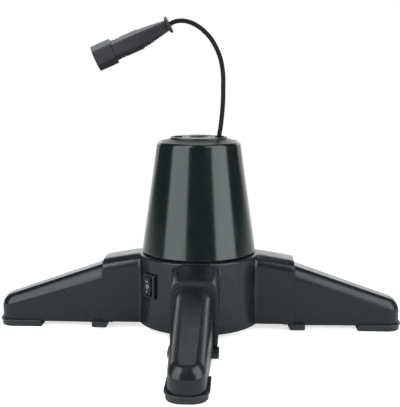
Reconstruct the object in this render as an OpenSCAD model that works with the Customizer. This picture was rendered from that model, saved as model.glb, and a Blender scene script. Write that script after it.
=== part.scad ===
// Rotating stand for an artificial tree: four plug-in legs, a hub that holds a geared motor,
// and a turning drum whose slip rings feed a short outlet lead.
// Millimetres. The origin is on the floor under the turning axis, +Z is up, and a leg points
// along each of +X, +Y, -X and -Y. The front is -Y.

/* [Hub] */
// Outside radius of the hub at its foot
hub_foot_r = 82; // [79:0.5:86]
// Outside radius of the hub at its rim
hub_rim_r = 79.5; // [78:0.5:82]
// Height of the hub's lower edge above the floor
hub_low_z = 10.3; // [9:0.1:13]
// Height of the hub's deck above the floor
hub_top_z = 102.5; // [100:0.1:110]
// Wall of the hub
hub_wall = 3; // [2.4:0.2:3.6]
// Thickness of the hub's deck
deck_t = 3.2; // [2.6:0.2:4]
// Thickness of the cover under the hub
cover_t = 2.5; // [2:0.1:3.5]

/* [Leg sockets] */
// Distance from the turning axis to a socket's mouth
socket_reach = 127; // [122:0.2:132]
// Width of a socket
socket_w = 58; // [54:1:62]
// Height of a socket's top edge at its mouth
socket_top_z = 93.8; // [90:0.1:95]
// Slope of a socket's top, in degrees
socket_slope = 10; // [6:1:12]
// Rounding of a socket's shoulders
socket_round = 14; // [10:1:16]
// Floor of a socket's tunnel
socket_floor_t = 3; // [2.4:0.2:4]
// Radius of the fillets between a socket's sides and the hub
socket_fillet_r = 6; // [3:0.5:7]

/* [Legs] */
// Distance from the turning axis to the tip of a leg's shell
leg_reach = 268.5; // [250:0.5:285]
// Width of a leg where it leaves its socket
leg_root_w = 47.4; // [45:0.2:49]
// Width of a leg at its tip
leg_tip_w = 41.4; // [38:0.2:44]
// Corner radius of a leg's tip in plan
leg_corner_r = 17.5; // [15:0.5:19]
// Height of a leg's crown where it leaves its socket
leg_top_z = 86.6; // [83:0.1:88]
// Slope of a leg's crown, in degrees
leg_slope = 19.1; // [17:0.1:20]
// Rounding along a leg's crown
leg_round = 13; // [10:0.5:15]
// Height of a leg's lower edge above the floor
leg_low_z = 7.5; // [7.4:0.1:9.8]
// Wall of a leg's shell
leg_wall = 2.6; // [2:0.2:3.2]
// Length of the stub that goes into the socket
stub_len = 40; // [30:1:41]

/* [Feet and catches] */
// Distance from the turning axis to the tip of a foot
foot_reach = 271; // [252:0.5:288]
// Width of a foot
foot_w = 49.6; // [47:0.2:54]
// Corner radius of a foot's tip in plan
foot_corner_r = 20; // [14:0.5:23]
// Length of a foot
foot_len = 58.7; // [50:0.1:66]
// Height of a foot's rim above the floor
foot_h = 9.3; // [8.4:0.1:9.4]
// Width of a catch plate, ears included
catch_w = 62; // [58:0.2:64]
// Length of a catch plate
catch_len = 23.8; // [20:0.2:28]
// Height of a catch plate's underside above the floor
catch_low_z = 2.8; // [1:0.1:3.2]

/* [Drum] */
// Running gap between the hub's deck and the drum's foot
drum_gap = 2.3; // [1.5:0.1:4]
// Outside radius of the drum at its foot
drum_foot_r = 75; // [72:0.5:77]
// Outside radius of the drum at its upper edge
drum_top_r = 54.8; // [51:0.2:60]
// Height of the drum's cone
drum_h = 145.6; // [130:0.2:170]
// Wall of the drum
drum_wall = 3; // [2.4:0.2:3.6]
// Rise of the shoulder from the drum's edge to the plateau
shoulder_rise = 4.1; // [2:0.1:5]
// Radius of the raised plateau on the drum's top
plateau_r = 37.2; // [36:0.2:40]
// Height of the plateau's step
plateau_step = 1.1; // [0.8:0.1:2.5]
// Radius to the middle of the lead slots
slot_mid_r = 28; // [27:0.5:29]
// Width of a lead slot
slot_w = 12; // [8:0.5:13]
// Angle that a lead slot spans between the centres of its round ends
slot_span = 34; // [20:1:50]

/* [Pole] */
// Radius of the bore that takes the tree's pole
pole_bore_r = 10; // [8:0.1:13]
// Radius of the socket behind the adapter, for a thicker pole
pole_socket_r = 17; // [16.5:0.1:17.5]
// Length of the adapter's sleeve
adapter_len = 62; // [40:1:80]

/* [Turning gear] */
// Module of the gear teeth
tooth_module = 1.5; // [1.2:0.05:1.6]
// Teeth of the large gear
gear_teeth = 56; // [52:1:58]
// Teeth of the motor's pinion
pinion_teeth = 14; // [13:1:16]
// Width of the large gear's rim
gear_face = 8; // [6:0.5:10]
// Outside radius of the hollow spindle
spindle_r = 12; // [11.5:0.1:12.6]
// Radius of a bearing ball
ball_r = 3; // [2.5:0.1:3.4]
// Number of bearing balls
ball_count = 16; // [12:1:20]
// Radius of the circle that the balls run on
ball_circle_r = 44; // [40:0.5:48]
// Outside radius of the brass slip rings
ring_r = 17.5; // [17:0.1:18.5]

/* [Motor] */
// Radius of the motor's can
motor_r = 25; // [22:0.5:26]
// Height of the motor's can
motor_h = 20; // [14:0.5:22]
// Distance from the can's centre to its output shaft
motor_offset = 8; // [8:0.5:10]
// Direction from the turning axis to the motor, in degrees
motor_azimuth = 45; // [40:1:50]

/* [Switch] */
// Direction from the turning axis to the rocker switch, in degrees
switch_azimuth = -138; // [-140:1:-130]
// Height of the switch's centre above the floor
switch_z = 67.3; // [59:0.1:68]
// Width of the switch's frame
switch_w = 24; // [20:0.5:25]
// Height of the switch's frame
switch_h = 32; // [30:0.5:34]
// Width of the rocker
rocker_w = 14; // [12:0.5:15]

/* [Outlet lead] */
// Diameter of the outlet lead
lead_d = 6; // [5:0.1:6.4]

/* [Hidden] */
$fn = 72;

// Colours
hub_colour = [0.17, 0.19, 0.20];
drum_colour = [0.10, 0.13, 0.13];
foot_colour = [0.14, 0.15, 0.16];
black = [0.06, 0.06, 0.07];
inner_white = [0.85, 0.84, 0.80];
steel = [0.72, 0.73, 0.75];
brass = [0.80, 0.65, 0.30];
zinc = [0.62, 0.64, 0.66];
connector_colour = [0.20, 0.19, 0.21];

// Clearances
fit = 0.35;        // a moulding in its socket
seat = 0.1;        // two pieces of one body that meet on a curve
running = 0.05;    // a shaft in its bush
eps = 0.01;
big = 400;

// Directions of the legs
RIGHT = 0;
BACK = 90;
LEFT = 180;
FRONT = 270;

// Heights of the turning gear, from the deck upwards and downwards
race_t = 3.8;
race_gap = 2.8;
race_half_w = 6;
cage_t = 2.2;
cage_half_w = 4.4;
bush_flange_t = 2;
bush_wall = 3;
boss_wall = 5;
boss_h = 7;
deck_z = hub_top_z - deck_t;
boss_low_z = deck_z - boss_h;
ball_z = hub_top_z + race_t + race_gap / 2;
turntable_z = hub_top_z + 2 * race_t + race_gap;
turntable_t = 4;
turntable_top_z = turntable_z + turntable_t;
bush_r = spindle_r + running + bush_wall;
hub_boss_r = bush_r + boss_wall;
gear_lift = 0.4;
gear_hub_h = 16;
gear_hub_r = spindle_r + 6;
gear_hub_top_z = boss_low_z - gear_lift;
gear_hub_low_z = gear_hub_top_z - gear_hub_h;
gear_z = gear_hub_top_z - gear_hub_h / 2 - gear_face / 2 + 1.4;
spindle_wall = 2.5;
spindle_flange_r = 19;
spindle_flange_t = 3;
spindle_rise = 5;
spindle_low_z = hub_low_z + cover_t + 10.5;
slip_core_r = 15.5;
slip_core_h = 28;
slip_core_z = spindle_low_z + 3;
ring_h = 5;
core_grub_z = slip_core_z + 1.5;
core_grub_r = 1.2;
gear_grub_z = gear_hub_low_z + 3;
ring_zs = [slip_core_z + 6, slip_core_z + 17];

// Motor, hung from the deck
gear_pitch_r = tooth_module * gear_teeth / 2;
pinion_pitch_r = tooth_module * pinion_teeth / 2;
shaft_dist = gear_pitch_r + pinion_pitch_r;
motor_dist = shaft_dist - motor_offset;
backlash = 0.3;
pressure_angle = 20;
addendum = 0.85;
dedendum = 1.25;
shaft_r = 3;
nose_r = 6;
nose_h = 1.6;
ear_t = 1.4;
ear_r = 5;
ear_dist = motor_r + 5;
motor_top_z = gear_z - nose_h - ear_t - 0.6;
post_r = 4.5;
screw_r = 1.5;
thread_r = screw_r + seat;
head_r = 3.2;
head_h = 2.2;
screw_len = 12;

// Bottom cover
cover_r = hub_foot_r - hub_wall - fit;
cover_boss_r = 4.5;
cover_boss_dist = hub_rim_r - hub_wall - 4;
cover_top_z = hub_low_z + cover_t;

// Drum
drum_foot_z = hub_top_z + drum_gap;
drum_edge_z = drum_foot_z + drum_h;
plateau_z = drum_edge_z + shoulder_rise + plateau_step;
plateau_t = 4;
drum_boss_r = 4.5;
drum_boss_len = 26;
drum_screw_dist = drum_r_at(turntable_top_z + drum_boss_len) - drum_wall - 4;
adapter_flange_r = pole_socket_r + 2;
adapter_flange_t = 2.2;
adapter_gap = 0.3;
slot_azimuths = [RIGHT, BACK, LEFT];
slot_end_r = slot_w / 2 + 0.2;

// Pole socket
pole_wall = 2.8;
pole_flange_r = 34;
pole_flange_t = 3;
wire_room_z = turntable_top_z + spindle_rise + 7;
pole_floor_z = wire_room_z + 4;
pole_top_z = plateau_z - plateau_t - 0.3;
socket_screw_dist = 28;
wire_window_w = 8;
inner_lead_r = 2;

// Lead clamp, on a flat pad of the pole socket
clamp_w = 22;
clamp_h = 14;
clamp_t = 10;
clamp_top_z = plateau_z - 20.5;
clamp_face_x = pole_socket_r + pole_wall + 1.7;
lead_x = 26.5;
clamp_screw_y = 7.6;

// Switch
bezel_t = 3;
pad_t = 1.8;
bezel_lap = 2.4;
case_depth = 24;
rocker_r = 12.6;
rocker_axis_in = 1.6;
rocker_rise = 3;
pad_x = hub_r_at(switch_z - switch_h / 2) + 0.2;
bezel_x = pad_x + bezel_t;
rocker_axis_x = bezel_x - rocker_axis_in - 2.6;

// Mains gland, at the back left
gland_azimuth = 135;
gland_z = 35.3;
gland_bore_r = 3.6;
gland_body_r = 6;
gland_flange_r = 9;
gland_flange_t = 3;
gland_nut_r = 9.5;
gland_nut_t = 4;

// Legs
leg_corner_x = leg_reach - leg_corner_r;
leg_corner_y = leg_tip_w / 2 - leg_corner_r;
stub_low_z = hub_low_z + socket_floor_t + fit;
stub_x = socket_reach - stub_len;
leg_gap = 0.3;
leg_x = socket_reach + leg_gap;
// Each side of a leg runs from the socket to the corner arc of the tip and touches it
taper_run = leg_corner_x - leg_x;
taper_rise = leg_root_w / 2 - leg_corner_y;
leg_taper = acos(leg_corner_r / norm([taper_rise, taper_run])) - atan(taper_run / taper_rise);
arc_steps = 6;
fillet_steps = 5;
foot_seat_z = foot_h - 2;
nose_share = 0.25;    // how much sharper the crown's rounding is at the tip
foot_x = foot_reach - foot_len;
foot_lip_h = 2.6;
foot_lip = 1.8;
foot_screw_x = foot_x + 16;
foot_screw_y = 10;
catch_x = leg_x + 14.9 - catch_len;
catch_lean = 3.9;
catch_corner_r = 3;
catch_screw_x = catch_x + catch_len - 7;
catch_screw_y = 14;
nib_len = 4;
nib_w = 52;
nib_h = 1.6;
catch_top_z = hub_low_z - leg_gap;
rib_t = 2.4;
leg_boss_r = 4.2;

// Inner lead: points along its middle, from the spindle to the clamp's foot
INNER_ROUTE = [
  [0, 0, 45], [0, 0, 113.3], [0.6, 0, 117.7], [2.4, 0, 120.9], [5.4, 0, 123.3], [9, 0, 124.5],
  [18, 0, 125.1], [21.6, 0, 126.1], [24.4, 0, 128.5], [26, 0, 131.9], [26.5, 0, 136.3],
  [26.5, 0, 215.3],
];
// Outlet lead: points along its middle, from the clamp's foot to its last bend. It ends on
// the middle of the connector's collar, and passes beside the pole's way.
LEAD_ROUTE = [
  [26.5, 0, 215.3], [26.5, 0, 229.3], [26.5, 0, 244.3], [27, 0, 257.3], [28.8, 0.5, 269.3],
  [30.1, 1.6, 281.2], [31.2, 3.4, 294.2], [31.7, 5.6, 307.2], [31.7, 8, 320.2],
  [31.6, 10.3, 333.3], [30.1, 12.3, 346.4], [27, 13.9, 359.5], [21.9, 15, 371.5],
  [15.2, 15.6, 382.6], [6.5, 16, 392.1], [-3.3, 16, 399.5], [-13.5, 16, 404.1],
  [-24, 16, 405.7],
];
lead_sides = 10;

// Connector: its middle line starts at the open face and rises towards the tail
connector_face = [-137.3, 16, 356.5];
connector_tilt = 23.5;
connector_hood_len = 27;
connector_body_end = 65;
connector_wall = 2.6;
connector_well = 8;
hood_half = [10.5, 16.9];
hood_chamfer = [6.5, 8];
body_half = [9, 13];
body_chamfer = [5.5, 6];
tail_start_half = [8, 12];
tail_end_half = [5.5, 7];
tail_bend = 2.5;
tail_len = 43.6;
tail_axis = [cos(connector_tilt + tail_bend), 0, sin(connector_tilt + tail_bend)];
lead_end = connector_face + tail_len * tail_axis
  + connector_body_end * [cos(connector_tilt), 0, sin(connector_tilt)];
collar_r = 11.7;
collar_len = 5;
groove_w = 1.8;
groove_d = 1;
groove_ats = [33, 37.5];
pin_gap = 19;
pin_r = 2.4;
insert_len = 17;

function hub_r_at(z) =
  hub_foot_r + (hub_rim_r - hub_foot_r) * (z - hub_low_z) / (hub_top_z - hub_low_z);
function drum_r_at(z) =
  drum_foot_r + (drum_top_r - drum_foot_r) * (z - drum_foot_z) / drum_h;

// Points of a soft corner at c between a and b, starting d away from c
function soft_corner(a, c, b, d, n = 5) =
  let (p = c + d * (a - c) / norm(a - c), q = c + d * (b - c) / norm(b - c))
  [for (i = [0:n]) let (t = i / n) (1 - t) ^ 2 * p + 2 * t * (1 - t) * c + t ^ 2 * q];

// ---------------------------------------------------------------- shared shapes

// A bar along +X from the origin, with its two upper edges rounded and its top at z = 0
module rounded_bar(len, w, h, r) {
  rotate([90, 0, 90]) linear_extrude(len) {
    translate([-w / 2, -h]) square([w, h - r]);
    translate([-w / 2 + r, -h]) square([w - 2 * r, h]);
    for (side = [-1, 1]) translate([side * (w / 2 - r), -r]) circle(r);
  }
}

// A pan-head screw that points up, with its head's underside at z = 0
module screw(len) {
  cylinder(h = len, r = screw_r);
  translate([0, 0, -head_h]) cylinder(h = head_h, r = head_r);
}

// A tube from z0 to z1
module tube(z0, z1, r_out, r_in) {
  translate([0, 0, z0]) difference() {
    cylinder(h = z1 - z0, r = r_out);
    translate([0, 0, -1]) cylinder(h = z1 - z0 + 2, r = r_in);
  }
}

// An octagon with half sizes in half and its corners cut by cut
module octagon(half, cut) {
  w = half[0];
  h = half[1];
  polygon([
    [w, -h + cut[1]], [w, h - cut[1]], [w - cut[0], h], [-w + cut[0], h],
    [-w, h - cut[1]], [-w, -h + cut[1]], [-w + cut[0], -h], [w - cut[0], -h],
  ]);
}

// ---------------------------------------------------------------- hub

module hub_revolved() {
  rim = [hub_rim_r, hub_top_z];
  rotate_extrude() polygon(concat(
    [[hub_foot_r, hub_low_z]],
    soft_corner([hub_foot_r, hub_low_z], rim, [0, hub_top_z], 3),
    [
      [bush_r + seat, hub_top_z], [bush_r + seat, boss_low_z], [hub_boss_r, boss_low_z],
      [hub_boss_r, deck_z], [hub_rim_r - hub_wall, deck_z], [hub_foot_r - hub_wall, hub_low_z],
    ]
  ));
}

// One leg socket, along +X: a sleeve with a sloping, round-shouldered top
module socket_block() {
  mouth = [socket_reach, socket_top_z];
  inner_x = hub_rim_r - 12;
  inner_top = socket_top_z + (socket_reach - inner_x) * tan(socket_slope);
  intersection() {
    rotate([90, 0, 0]) linear_extrude(socket_w + 2, center = true) polygon(concat(
      [[inner_x, hub_low_z], [socket_reach, hub_low_z]],
      soft_corner([socket_reach, hub_low_z], mouth, [inner_x, inner_top], 4),
      [[inner_x, inner_top]]
    ));
    translate([socket_reach, 0, socket_top_z]) rotate([0, socket_slope, 0])
      translate([-socket_reach, 0, 0])
        rounded_bar(socket_reach + 20, socket_w, socket_top_z + 40, socket_round);
    // The sleeve's inner end follows the hub's wall
    translate([0, 0, hub_low_z]) difference() {
      cylinder(h = hub_top_z - hub_low_z - 1, r = big);
      translate([0, 0, -1]) cylinder(h = hub_top_z, r = (hub_foot_r - hub_wall + hub_rim_r) / 2);
    }
  }
}

// A hollow corner between one side of a socket and the hub, up to the socket's shoulder
module socket_fillet() {
  top_z = socket_top_z - socket_round;
  hub_r = hub_r_at(top_z);
  side_y = socket_w / 2;
  centre_y = side_y + socket_fillet_r;
  centre_x = sqrt((hub_r + socket_fillet_r) ^ 2 - centre_y ^ 2);
  bury = 0.8;
  touch = (hub_r - bury) / (hub_r + socket_fillet_r) * [centre_x, centre_y];
  translate([0, 0, hub_low_z]) linear_extrude(top_z - hub_low_z) difference() {
    polygon([
      [sqrt(hub_r ^ 2 - side_y ^ 2) - bury, side_y - bury], [centre_x, side_y - bury], touch,
    ]);
    translate([centre_x, centre_y]) circle(socket_fillet_r + 0.05);
  }
}

// The space inside a socket for a leg's stub
module socket_tunnel() {
  w = leg_root_w + 2 * fit;
  translate([stub_x - fit, 0, leg_top_z + fit])
    rounded_bar(big, w, leg_top_z - hub_low_z - socket_floor_t + fit, leg_round);
}

module hub_housing() {
  color(hub_colour) {
    difference() {
      union() {
        hub_revolved();
        for (a = [RIGHT, BACK, LEFT, FRONT]) rotate([0, 0, a]) {
          difference() {
            socket_block();
            socket_tunnel();
          }
          // Stop nib under the socket's floor
          translate([catch_x - fit - nib_len, -nib_w / 2, hub_low_z - nib_h])
            cube([nib_len, nib_w, nib_h + 1]);
          for (side = [0, 1]) mirror([0, side, 0]) socket_fillet();
          // Boss for a cover screw
          translate([cover_boss_dist, 0, cover_top_z])
            cylinder(h = deck_z - cover_top_z + 1, r = cover_boss_r);
        }
        // Flat pad behind the switch's frame
        rotate([0, 0, switch_azimuth])
          translate([pad_x - pad_t - 2, -switch_w / 2, switch_z - switch_h / 2])
            cube([pad_t + 2, switch_w, switch_h]);
        // Posts that carry the motor
        for (side = [-1, 1]) motor_place() translate([0, side * ear_dist, motor_top_z + ear_t])
          cylinder(h = deck_z - motor_top_z - ear_t + 1, r = post_r);
      }
      for (a = [RIGHT, BACK, LEFT, FRONT]) rotate([0, 0, a])
        translate([cover_boss_dist, 0, 0]) cylinder(h = cover_top_z + 16, r = thread_r);
      for (side = [-1, 1]) motor_place() translate([0, side * ear_dist, 0])
        cylinder(h = motor_top_z + ear_t + screw_len, r = thread_r);
      // Window for the switch
      rotate([0, 0, switch_azimuth])
        translate([hub_rim_r - 12, -switch_w / 2 + bezel_lap, switch_z - switch_h / 2 + bezel_lap])
          cube([20, switch_w - 2 * bezel_lap, switch_h - 2 * bezel_lap]);
      // Hole for the mains gland
      rotate([0, 0, gland_azimuth]) translate([hub_rim_r - 12, 0, gland_z])
        rotate([0, 90, 0]) cylinder(h = 30, r = gland_body_r + seat);
    }
  }
}

module bottom_cover() {
  color(foot_colour) difference() {
    union() {
      translate([0, 0, hub_low_z]) cylinder(h = cover_t, r = cover_r);
      // Ring rib that stiffens the plate
      tube(cover_top_z - eps, cover_top_z + 2, 64, 62);
    }
    for (a = [RIGHT, BACK, LEFT, FRONT]) rotate([0, 0, a])
      translate([cover_boss_dist, 0, 0]) cylinder(h = big, r = screw_r + 0.3);
    for (p = contact_screw_places) rotate([0, 0, contact_azimuth]) translate([p[0], p[1], 0])
      cylinder(h = big, r = screw_r + 0.3);
  }
}

module cover_screws() {
  color(zinc) for (a = [RIGHT, BACK, LEFT, FRONT]) rotate([0, 0, a])
    translate([cover_boss_dist, 0, hub_low_z]) screw(screw_len);
}

// ---------------------------------------------------------------- bearing

// A flat ring with a ball groove in it, its lower face at z0
module race(z0) {
  color(zinc) difference() {
    tube(z0, z0 + race_t, ball_circle_r + race_half_w, ball_circle_r - race_half_w);
    ball_groove();
  }
}

module ball_groove() {
  rotate_extrude() translate([ball_circle_r, ball_z]) circle(ball_r + 0.1);
}

module lower_race() race(hub_top_z);

module upper_race() race(turntable_z - race_t);

module ball_cage() {
  color(inner_white) difference() {
    tube(ball_z - cage_t / 2, ball_z + cage_t / 2,
      ball_circle_r + cage_half_w, ball_circle_r - cage_half_w);
    for (i = [0:ball_count - 1]) rotate([0, 0, i * 360 / ball_count])
      translate([ball_circle_r, 0, ball_z - cage_t]) cylinder(h = 2 * cage_t, r = ball_r + 0.2);
  }
}

module bearing_balls() {
  color(steel) for (i = [0:ball_count - 1]) rotate([0, 0, i * 360 / ball_count])
    translate([ball_circle_r, 0, ball_z]) sphere(ball_r);
}

module spindle_bush() {
  color(brass) difference() {
    union() {
      translate([0, 0, boss_low_z]) cylinder(h = hub_top_z - boss_low_z, r = bush_r);
      translate([0, 0, hub_top_z]) cylinder(h = bush_flange_t, r = bush_r + 3);
    }
    cylinder(h = big, r = spindle_r + running);
  }
}

// ---------------------------------------------------------------- spindle and gear

module spindle() {
  color(inner_white) difference() {
    union() {
      translate([0, 0, spindle_low_z])
        cylinder(h = turntable_top_z + spindle_rise - spindle_low_z, r = spindle_r);
      translate([0, 0, turntable_z - spindle_flange_t])
        cylinder(h = spindle_flange_t, r = spindle_flange_r);
    }
    cylinder(h = big, r = spindle_r - spindle_wall);
  }
}

// Angle across an involute, in degrees, at a profile angle a
function involute(a) = tan(a) * 180 / PI - a;
// Half the angle that a tooth fills at radius r
function tooth_half(r, teeth) =
  let (pitch_r = tooth_module * teeth / 2, base_r = pitch_r * cos(pressure_angle))
  90 / teeth - backlash / 4 / pitch_r * 180 / PI + involute(pressure_angle)
    - involute(acos(min(1, base_r / r)));
// Outline of a gear, one tooth centred on +X
function gear_outline(teeth) =
  let (
    pitch_r = tooth_module * teeth / 2,
    root = pitch_r - dedendum * tooth_module,
    tip = pitch_r + addendum * tooth_module,
    base = max(root + 0.2, pitch_r * cos(pressure_angle)),
    radii = [root, base, pitch_r, tip]
  )
  [for (i = [0:teeth - 1], side = [-1, 1], k = [0:3])
    let (r = radii[side < 0 ? k : 3 - k], a = i * 360 / teeth + side * tooth_half(r, teeth))
    [r * cos(a), r * sin(a)]];

module drive_gear() {
  web_r = gear_pitch_r - dedendum * tooth_module - 4;
  color(inner_white) difference() {
    union() {
      translate([0, 0, gear_z]) rotate([0, 0, motor_azimuth])
        linear_extrude(gear_face) polygon(gear_outline(gear_teeth));
      translate([0, 0, gear_hub_low_z]) cylinder(h = gear_hub_h, r = gear_hub_r);
    }
    // The web between hub and rim is thinner than the rim
    for (z = [gear_z - 1, gear_z + gear_face - 2])
      tube(z, z + 3, web_r, gear_hub_r + eps);
    for (i = [0:5]) rotate([0, 0, motor_azimuth + i * 60 + 30])
      translate([(web_r + gear_hub_r) / 2, 0, 0]) cylinder(h = big, r = 5);
    cylinder(h = big, r = spindle_r + seat);
    grub_place(gear_grub_z) cylinder(h = gear_hub_r, r = thread_r);
  }
}

// Points outwards from the axis, away from the motor
module grub_place(z) {
  rotate([0, 0, motor_azimuth + 180]) translate([0, 0, z]) rotate([0, 90, 0]) children();
}

// Grub screws that hold the large gear and the slip-ring core on the spindle
module grub_screws() {
  color(steel) {
    grub_place(gear_grub_z) translate([0, 0, spindle_r])
      cylinder(h = gear_hub_r - spindle_r - 0.5, r = screw_r);
    grub_place(core_grub_z) translate([0, 0, spindle_r])
      cylinder(h = ring_r + 1 - spindle_r, r = core_grub_r);
  }
}

module pinion() {
  color(inner_white) rotate([0, 0, motor_azimuth]) translate([shaft_dist, 0, gear_z])
    difference() {
      rotate([0, 0, 180 + 180 / pinion_teeth])
        linear_extrude(gear_face) polygon(gear_outline(pinion_teeth));
      translate([0, 0, -1]) cylinder(h = gear_face + 2, r = shaft_r + running);
    }
}

// ---------------------------------------------------------------- motor

module motor_place() {
  rotate([0, 0, motor_azimuth]) translate([motor_dist, 0, 0]) children();
}

module gear_motor() {
  color(zinc) motor_place() difference() {
    union() {
      translate([0, 0, motor_top_z - motor_h]) cylinder(h = motor_h, r = motor_r);
      translate([0, 0, motor_top_z]) linear_extrude(ear_t) difference() {
        union() {
          circle(motor_r - 0.6);
          square([2 * ear_r, 2 * ear_dist], center = true);
          for (side = [-1, 1]) translate([0, side * ear_dist]) circle(ear_r);
        }
        for (side = [-1, 1]) translate([0, side * ear_dist]) circle(screw_r + 0.2);
      }
      translate([motor_offset, 0, motor_top_z]) cylinder(h = ear_t + nose_h, r = nose_r);
    }
    translate([motor_offset, 0, motor_top_z - 6]) cylinder(h = 20, r = shaft_r + running);
  }
}

module motor_shaft() {
  color(steel) rotate([0, 0, motor_azimuth]) translate([shaft_dist, 0, motor_top_z - 5.7])
    cylinder(h = gear_z + gear_face + 1.5 - motor_top_z + 5.7, r = shaft_r);
}

module motor_screws() {
  color(zinc) motor_place() for (side = [-1, 1])
    translate([0, side * ear_dist, motor_top_z]) screw(screw_len);
}

// ---------------------------------------------------------------- slip rings

contact_azimuth = -45;
contact_x = 24;
contact_len = 12;
contact_w = 16;
contact_base_x = contact_x + 22;
contact_screw_places = [[contact_base_x - 4, 0]];
contact_block_h = 30;
leaf_t = 0.6;
leaf_w = 4;
leaf_gap = 0.35;

module slip_core() {
  color(inner_white) difference() {
    union() {
      translate([0, 0, slip_core_z]) cylinder(h = slip_core_h, r = slip_core_r);
      // Collars that keep the rings apart
      for (z = [slip_core_z, ring_zs[0] + ring_h + seat, ring_zs[1] + ring_h + seat])
        translate([0, 0, z]) cylinder(h = 3, r = ring_r + 1.5);
    }
    cylinder(h = big, r = spindle_r + seat);
    grub_place(core_grub_z) cylinder(h = big, r = core_grub_r + seat);
  }
}

module slip_rings() {
  color(brass) for (z = ring_zs) tube(z, z + ring_h, ring_r, slip_core_r + seat);
}

// The block that holds the leaf contacts, on the bottom cover
module contact_block() {
  color(black) rotate([0, 0, contact_azimuth]) difference() {
    union() {
      translate([contact_x, -contact_w / 2, cover_top_z])
        cube([contact_base_x - contact_x, contact_w, 4]);
      translate([contact_x, -contact_w / 2, cover_top_z])
        cube([contact_len, contact_w, ring_zs[1] + ring_h + 5 - cover_top_z]);
    }
    for (z = ring_zs) translate([contact_x - 1, -leaf_t / 2 - seat, z + ring_h / 2 - leaf_w / 2 - seat])
      cube([9 + seat, leaf_t + 2 * seat, leaf_w + 2 * seat]);
    for (p = contact_screw_places) translate([p[0], p[1], 0]) cylinder(h = big, r = thread_r);
  }
}

module contact_screws() {
  color(zinc) rotate([0, 0, contact_azimuth]) for (p = contact_screw_places)
    translate([p[0], p[1], hub_low_z]) screw(5.5);
}

// Leaf contacts that rub on the slip rings
module ring_contacts() {
  near = ring_r + leaf_gap;
  color(brass) rotate([0, 0, contact_azimuth]) for (z = ring_zs)
    translate([0, 0, z + ring_h / 2 - leaf_w / 2]) linear_extrude(leaf_w) {
      translate([near, -leaf_t / 2]) square([contact_x + 8 - near, leaf_t]);
      translate([near, -leaf_t / 2]) square([leaf_t, 9]);
    }
}

// ---------------------------------------------------------------- switch

module switch_place() {
  rotate([0, 0, switch_azimuth]) translate([0, 0, switch_z]) children();
}

module switch_body() {
  inner_w = switch_w - 2 * bezel_lap - 2 * seat;
  inner_h = switch_h - 2 * bezel_lap - 2 * seat;
  color(black) switch_place() difference() {
    union() {
      translate([pad_x, -switch_w / 2, -switch_h / 2]) cube([bezel_t, switch_w, switch_h]);
      translate([bezel_x - case_depth, -inner_w / 2, -inner_h / 2])
        cube([case_depth - bezel_t / 2, inner_w, inner_h]);
    }
    translate([rocker_axis_x, 0, 0]) rotate([90, 0, 0])
      cylinder(h = rocker_w + 2 * fit, r = rocker_r + fit, center = true);
  }
}

module switch_rocker() {
  color(black) switch_place() translate([rocker_axis_x, 0, 0]) rotate([90, 0, 0])
    linear_extrude(rocker_w, center = true) intersection() {
      circle(rocker_r);
      polygon([
        [-4, -6], [-4, 6], [0, 20], [rocker_axis_in + 2.6 + rocker_rise, 20],
        [rocker_axis_in + 2.6 + rocker_rise, 11], [rocker_axis_in + 2.6 + 1.2, 0],
        [rocker_axis_in + 2.6 + rocker_rise, -11], [rocker_axis_in + 2.6 + rocker_rise, -20],
        [0, -20],
      ]);
    }
}

module switch_terminals() {
  color(brass) switch_place() for (z = [-8, 0, 8])
    translate([bezel_x - case_depth - 7, -2.4, z - 0.4]) cube([7, 4.8, 0.8]);
}

// ---------------------------------------------------------------- mains gland

module gland_place() {
  rotate([0, 0, gland_azimuth]) translate([0, 0, gland_z]) rotate([0, 90, 0]) children();
}

gland_seat_r = hub_r_at(gland_z) + 0.3;

module cable_gland() {
  color(black) gland_place() difference() {
    union() {
      translate([0, 0, gland_seat_r]) cylinder(h = gland_flange_t, r = gland_flange_r);
      translate([0, 0, gland_seat_r - hub_wall - 8]) cylinder(h = hub_wall + 12, r = gland_body_r);
      translate([0, 0, gland_seat_r + gland_flange_t])
        cylinder(h = 8, r1 = gland_body_r + 1, r2 = gland_body_r - 1);
    }
    translate([0, 0, gland_seat_r - 20]) cylinder(h = 60, r = gland_bore_r);
  }
}

module gland_nut() {
  nut_z = gland_seat_r - hub_wall - gland_nut_t - 1.4;
  color(black) gland_place() difference() {
    translate([0, 0, nut_z]) cylinder(h = gland_nut_t, r = gland_nut_r, $fn = 6);
    translate([0, 0, nut_z - 1]) cylinder(h = gland_nut_t + 2, r = gland_body_r + seat);
  }
}

// ---------------------------------------------------------------- drum

function drum_outer_profile() =
  let (
    foot = [drum_foot_r, drum_foot_z],
    edge = [drum_top_r, drum_edge_z],
    rise = [plateau_r + 0.8, drum_edge_z + shoulder_rise],
    step = [plateau_r, plateau_z]
  )
  concat(
    [foot], soft_corner(foot, edge, rise, 3), [rise],
    soft_corner(rise, step, [0, plateau_z], 0.6, 3)
  );

// A kidney slot. Its round ends are a little wider than its arc, so that they cross it.
module slot_cut(azimuth) {
  rotate([0, 0, azimuth]) translate([0, 0, plateau_z - 20]) linear_extrude(40) {
    intersection() {
      difference() {
        circle(slot_mid_r + slot_w / 2);
        circle(slot_mid_r - slot_w / 2);
      }
      polygon([
        [0, 0],
        [60 * cos(slot_span / 2), 60 * sin(slot_span / 2)],
        [60 * cos(slot_span / 2), -60 * sin(slot_span / 2)],
      ]);
    }
    for (side = [-1, 1]) rotate(side * slot_span / 2) translate([slot_mid_r, 0]) circle(slot_end_r);
  }
}

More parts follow.
